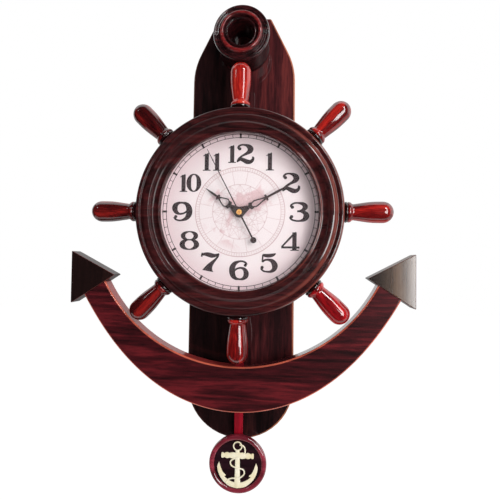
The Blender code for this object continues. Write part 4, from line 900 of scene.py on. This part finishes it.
def dial_paper():
    """Pale pinkish card with soft patches, a little darker towards its edge."""
    made = Shader("dial_paper")
    cloud = made.noise(made.place(shift=(0.318, 0, 0.214)), 22, 5.0, 0.6, 0.8)
    x, _, z = made.split(made.place(shift=(0, 0, -print_z)))
    off = made.from_axis(made.math("ADD", x, -patch_middle[0]), made.math("ADD", z, -patch_middle[1]))
    patch = made.span(made.math("ADD", cloud, made.span(off, 0.008, 0.036, 0.14, -0.03)), 0.53, 0.62)
    distance = made.from_axis(x, z)
    warm = made.times(made.times(patch, made.span(distance, 0.04, 0.062, 1.0, 0.0)), 0.75)
    fibre = made.noise(made.place(), 900, 3.0)
    paper = made.ramp(fibre, [(0.3, (224, 212, 213)), (0.7, (232, 221, 222))])
    paper = made.mix(warm, paper, rgb(208, 166, 170))
    paper = made.mix(made.span(distance, 0.066, 0.118, 0.0, 0.75), paper, rgb(212, 186, 190))
    made.set(base_color=paper, roughness=0.55)
    made.bump(fibre, 0.00002, 0.4)
    return made.material


def clear_glass():
    """Glass that lets shadow rays straight through."""
    made = Shader("clear_glass")
    smear = made.noise(made.place(), 30, 3.0)
    made.set(base_color=(1, 1, 1, 1), transmission_weight=1.0, ior=1.5,
             roughness=made.span(smear, 0.3, 0.8, 0.0, 0.012))
    shadow = made.node("ShaderNodeLightPath").outputs["Is Shadow Ray"]
    passing = made.node("ShaderNodeBsdfTransparent")
    made.blend(shadow, made.surface.outputs[0], passing.outputs[0], made.output)
    return made.material


# Spacer: thickness of its wall in front and behind

spacer_front_wall = 0.0044
spacer_back_wall = 0.0026


def make_spacer():
    finish = coated("spacer_enamel", (206, 188, 190), (218, 202, 203), 0.3, 200, coat=0.6)
    radius = (spacer_high.x - spacer_low.x) / 2
    front = radius - spacer_front_wall
    back = radius - spacer_back_wall
    middle = (front + back) / 2
    far, near = spacer_high.y, spacer_low.y
    depth = far - near
    profile = [(radius, far), (radius, near), (front + 0.0006, near), (front, near + 0.0005),
               (front, near + depth * 0.16), (front + 0.0006, near + depth * 0.2),
               (middle, near + depth * 0.55), (middle + 0.0005, near + depth * 0.58), (back, far - 0.0006),
               (back + 0.0005, far)]
    turned("spacer_turned", profile, wheel_steps, wheel_z, finish, "clock", "dial_spacer_ring")


# Bob: a turned rim, whose crown points are (short of the outside, behind the front)


bob_rim_depth = 0.0036
bob_back_round = 0.0028
bob_crown = [(.0, .003), (.0008, .0012), (.0026, .0001), (.0044, .0002), (.0062, .0011), (.0074, .0028)]
bob_back_steps = 6


def make_bob():
    floor = bob_low.y + bob_rim_depth
    soft = bob_back_round
    profile = [(0, bob_high.y), (bob_radius - soft, bob_high.y)]
    for i in range(1, bob_back_steps + 1):
        turn = pi / 2 * i / bob_back_steps
        profile.append((bob_radius - soft + soft * sin(turn), bob_high.y - soft + soft * cos(turn)))
    crown = [(bob_radius - short, bob_low.y + back) for short, back in bob_crown]
    profile += curve(crown + [(crown[-1][0], floor)], 4) + [(0, floor)]
    turned("bob_turned", profile, bob_steps, bob_z, bob_wood, "pendulum", "bob_body", closed=False)


# Emblem, from the bob's middle: the stock is (x, half width), the shank (z, half width), the rest (x, z)

emblem_sink = 0.0009
emblem_crown = 0.0014
eye_middle = 0.0268
eye_radius = 0.0061
stock_z = 0.0132
stock_half = [
    (.0, .0045), (.003, .004), (.006, .0047), (.0094, .0043), (.012, .0036), (.0146, .0045), (.0176, .004),
    (.0196, .003), (.0216, .0041), (.0236, .0036), (.024, .001)]
shank = [
    (.0215, .0016), (.019, .003), (.008, .0034), (-.008, .0037), (-.022, .0042), (-.03, .0046),
    (-.0335, .0012)]
fluke_outside = [
    (.0015, -.0338), (.012, -.0312), (.0215, -.0235), (.0275, -.014), (.0298, -.004), (.0272, .0035)]
fluke_inside = [
    (.0245, -.005), (.0212, -.0118), (.0168, -.0158), (.0192, -.0176), (.014, -.0218), (.0078, -.0248),
    (.0015, -.0262)]
rope = [
    (.003, .029), (.0085, .0275), (.0112, .0215), (.009, .015), (-.004, .0095), (-.0105, .004),
    (-.008, -.002), (.001, -.004), (.009, -.007), (.01, -.013), (.004, -.018), (-.006, -.0195),
    (-.013, -.0215), (-.0165, -.0265)]
rope_smoothings = 3
rope_over = 0.0014
rope_beside = 0.0003


def make_emblem():
    gold = coated("emblem_gilt", (246, 232, 190), (255, 248, 224), 0.3, 500, coat=0.5)
    edit = bmesh.new()
    back = node_box("bob_emblem")[1].y
    half_turn = circle(1.0, 24)[:13]

    def at(x, z, forward=0.0):
        return Vector((x, back - emblem_sink - forward, bob_z + z))

    def half_round(points, rise):
        """Adds a half-round bar through (x, z, half width) points."""
        points = curve(points, 5)
        rings = []
        for i, point in enumerate(points):
            ahead = heading(points, i).xy.normalized()
            half = point.z
            up = rise * min(1.0, half / 0.0012)
            rings.append([edit.verts.new(at(point.x - ahead.y * half * across,
                                            point.y + ahead.x * half * across, up * high))
                          for across, high in half_turn])
        for one, two in zip(rings, rings[1:]):
            bridge(edit, one, two, closed=False)

    tube(edit, [at(x, eye_middle + z) for x, z in circle(eye_radius, 40)], 0.001, 12, closed=True)
    stock = [(-x, half) for x, half in stock_half[:0:-1]] + stock_half
    half_round([(x, stock_z, half) for x, half in stock], 0.0018)
    half_round([(0, z, half) for z, half in shank], 0.0013)
    for side in (-1, 1):
        outline = [point for edge in (fluke_outside, fluke_inside)
                   for point in curve([(side * x, z) for x, z in edge], 5)]
        slab(edit, [(p.x, bob_z + p.y) for p in outline], back - emblem_crown, back, 0.0004, 2)
    path = [at(p.x, p.y, rope_over if abs(p.x) < 0.006 and p.y < 0.02 else rope_beside)
            for p in curve(rope, 8)]
    for _ in range(rope_smoothings):
        path[1:-1] = [(one + two * 2 + three) / 4 for one, two, three in zip(path, path[1:], path[2:])]
    tube(edit, path, 0.0011, 10)
    add("emblem_cast", edit, gold, "pendulum", "bob_emblem", sharp=radians(40))


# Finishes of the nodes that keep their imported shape

def dress(finish, *names):
    for name in names:
        materials = nodes[name].data.materials
        materials.clear()
        materials.append(finish)


def cap_brass():
    """Gilt cap, darker in a small round spot in its middle."""
    made = Shader("cap_brass")
    x, _, z = made.split(made.place(shift=(0, 0, -wheel_z)))
    speck = made.noise(made.place(), 1800, 3.0)
    gilt = made.ramp(speck, [(0.35, (236, 164, 82)), (0.65, (252, 196, 116))])
    middle_spot = made.span(made.from_axis(x, z), 0.0008, 0.0016, 1.0, 0.0)
    made.set(base_color=made.mix(middle_spot, gilt, rgb(190, 112, 50)),
             roughness=made.span(speck, 0.3, 0.7, 0.22, 0.3), metallic=0.5)
    return made.material


def dress_nodes():
    dress(board_wood, "shank_board")
    dress(hub_wood, "wheel_hub", "wheel_back_plate")
    dress(block_wood, "crescent_block_left", "crescent_block_right")
    dress(coated("backing_board", (112, 76, 48), (138, 98, 64), 0.8, 500), "dial_backing")
    dress(dial_paper(), "dial_plate")
    dress(clear_glass(), "glass_lens")
    dress(brushed("zinc_plate", (150, 150, 148), (190, 190, 186), 0.35, 0), "hanger_plate")
    dress(coated("hand_lacquer", (30, 9, 13), (46, 16, 20), 0.4, 400, coat=0.3, specular=0.2),
          "hour_hand", "minute_hand", "second_hand")
    dress(cap_brass(), "centre_cap")
    dress(coated("turned_brass", (176, 130, 62), (206, 160, 86), 0.3, 300, metallic=1.0), "hex_nut")
    dress(coated("case_plastic", (18, 18, 19), (26, 26, 28), 0.5, 900, grain=0.00008),
          "movement_case", "movement_cover", "pendulum_drive_case")
    dress(coated("gasket_rubber", (20, 20, 20), (30, 30, 30), 0.8, 700), "rubber_gasket")
    dress(coated("wheel_plastic", (214, 210, 200), (232, 228, 218), 0.4, 600),
          "second_wheel", "third_wheel", "fifth_wheel", "centre_wheel", "minute_wheel", "hour_wheel",
          "train_bridge", "setting_knob", "pendulum_hanger")
    dress(brushed("spring_steel", (140, 142, 146), (186, 188, 192), 0.3, 2), "battery_contact_plus",
          "battery_contact_minus", "pendulum_hook")
    dress(brushed("soft_iron", (110, 112, 116), (150, 152, 156), 0.4, 0), "motor_stator", "coil_core",
          "quartz_crystal", "pendulum_magnet", "motor_rotor")
    dress(brushed("copper_wire", (150, 74, 40), (190, 104, 62), 0.35, 2), "motor_coil", "pendulum_coil")
    dress(coated("board_resist", (16, 74, 42), (24, 96, 54), 0.35, 700), "circuit_board")
    dress(coated("cell_jacket", (26, 70, 128), (34, 86, 150), 0.3, 300, coat=0.5), "battery")
    dress(rod_wood, "pendulum_rod")
    dress(inlay_wood, "bob_inlay")


# Stage: a floor and a world that look white, and dark cards that only show in gloss. A diffuse depth
# under first_bounce is a ray before its first diffuse bounce

floor_z = -1.25
floor_reach = 8.0
floor_lift = 0.53
ambient_level = 0.53
first_bounce = 0.5
card_cloth = (0.006, 0.004, 0.004, 1)
card_left, card_right = -2.2, 2.2
card_low, card_top = -1.2, 1.6
card_front = -2.1
card_left_back, card_right_back, card_level_back = 0.7, -0.5, -0.3


def stage_sheet(name, corners, finish):
    edit = bmesh.new()
    edit.faces.new([edit.verts.new(corner) for corner in corners])
    made = new_object(name, edit, finish)
    return made


def make_floor():
    white = Shader("floor_white")
    seen = white.node("ShaderNodeLightPath").outputs["Is Camera Ray"]
    white.set(base_color=(0.9, 0.9, 0.9, 1), roughness=0.9, specular_ior_level=0.0,
              emission_color=(1, 1, 1, 1), emission_strength=white.times(seen, floor_lift))
    signs = ((-1, -1), (1, -1), (1, 1), (-1, 1))
    stage_sheet("floor", [(floor_reach * x, floor_reach * y, floor_z) for x, y in signs], white.material)


def make_card(word, corners):
    shade = Shader("card_%s_cloth" % word)
    shade.set(base_color=card_cloth, roughness=1.0, specular_ior_level=0.0)
    card = stage_sheet("card_" + word, corners, shade.material)
    card.visible_camera = card.visible_diffuse = False
    card.visible_shadow = card.visible_transmission = False


def make_cards():
    make_card("front", [(card_left, card_front, card_low), (card_right, card_front, card_low),
                        (card_right, card_front, card_top), (card_left, card_front, card_top)])
    for word, x, back in (("left", card_left, card_left_back), ("right", card_right, card_right_back)):
        make_card(word, [(x, card_front, card_low), (x, card_front, card_top),
                         (x, back, card_top), (x, back, card_low)])
    for word, z in (("top", card_top), ("low", card_low)):
        make_card(word, [(card_left, card_front, z), (card_right, card_front, z),
                         (card_right, card_level_back, z), (card_left, card_level_back, z)])


# Lamps: name, place, the point that they face, width, height and power
lamps = (("right_box", (1.3, -1.55, 0.15), (0.0, -0.05, 0.1), 0.36, 1.9, 16.0),
         ("fluke_box", (1.055, -1.98, -0.31), (1.055, 0.0, -0.31), 0.52, 0.62, 7.2),
         ("left_box", (-1.3, -1.15, 0.8), (0.0, -0.05, 0.0), 0.07, 0.4, 0.7),
         ("top_box", (0.9, -1.2, 0.85), (0.0, -0.05, -0.15), 0.34, 0.2, 3.2))


def make_lamps():
    for name, place, aim, width, height, power in lamps:
        data = bpy.data.lights.new(name, "AREA")
        data.shape = "RECTANGLE"
        data.size = width
        data.size_y = height
        data.energy = power
        lamp = bpy.data.objects.new(name, data)
        lamp.location = place
        lamp.rotation_euler = (Vector(aim) - Vector(place)).to_track_quat("-Z", "Y").to_euler()
        link_object(lamp)


def make_world():
    """White to the camera, in gloss and through glass, but the ambient level after a diffuse bounce."""
    world = bpy.data.worlds.new("studio")
    scene.world = world
    sky = Nodes(world)
    shades = [sky.node("ShaderNodeBackground", {"Color": (1, 1, 1, 1), "Strength": level}).outputs[0]
              for level in (ambient_level, 1.0)]
    path = sky.node("ShaderNodeLightPath").outputs
    seen = path["Is Camera Ray"]
    for name in ("Is Glossy Ray", "Is Transmission Ray"):
        seen = sky.math("MAXIMUM", seen, path[name])
    direct = sky.math("LESS_THAN", path["Diffuse Depth"], first_bounce)
    sky.blend(sky.times(seen, direct), *shades, sky.node("ShaderNodeOutputWorld"))


# Camera: the photograph's, fitted to the part; angles in radians
camera_place = (0.066, -0.679, -0.26785)
camera_yaw, camera_pitch, camera_roll = 0.0799, 0.0297, 0.0129
focal_pixels = 434.697
picture_pixels = 500
sensor_width = 36.0


def make_camera():
    data = bpy.data.cameras.new("camera")
    camera = bpy.data.objects.new("camera", data)
    link_object(camera)
    data.sensor_width = sensor_width
    data.lens = focal_pixels / picture_pixels * sensor_width
    level = Matrix.Translation(camera_place) @ Matrix.Rotation(camera_yaw, 4, "Z")
    raised = level @ Matrix.Rotation(pi / 2 + camera_pitch, 4, "X")
    camera.matrix_world = raised @ Matrix.Rotation(camera_roll, 4, "Z")
    scene.camera = camera


make_rim()
make_handles()
make_ring()
make_arms()
make_flukes()
make_dial_print()
make_chart()
make_spacer()
make_bob()
make_emblem()
dress_nodes()
make_floor()
make_cards()
make_lamps()
make_world()
make_camera()
scene.view_settings.view_transform = "Standard"
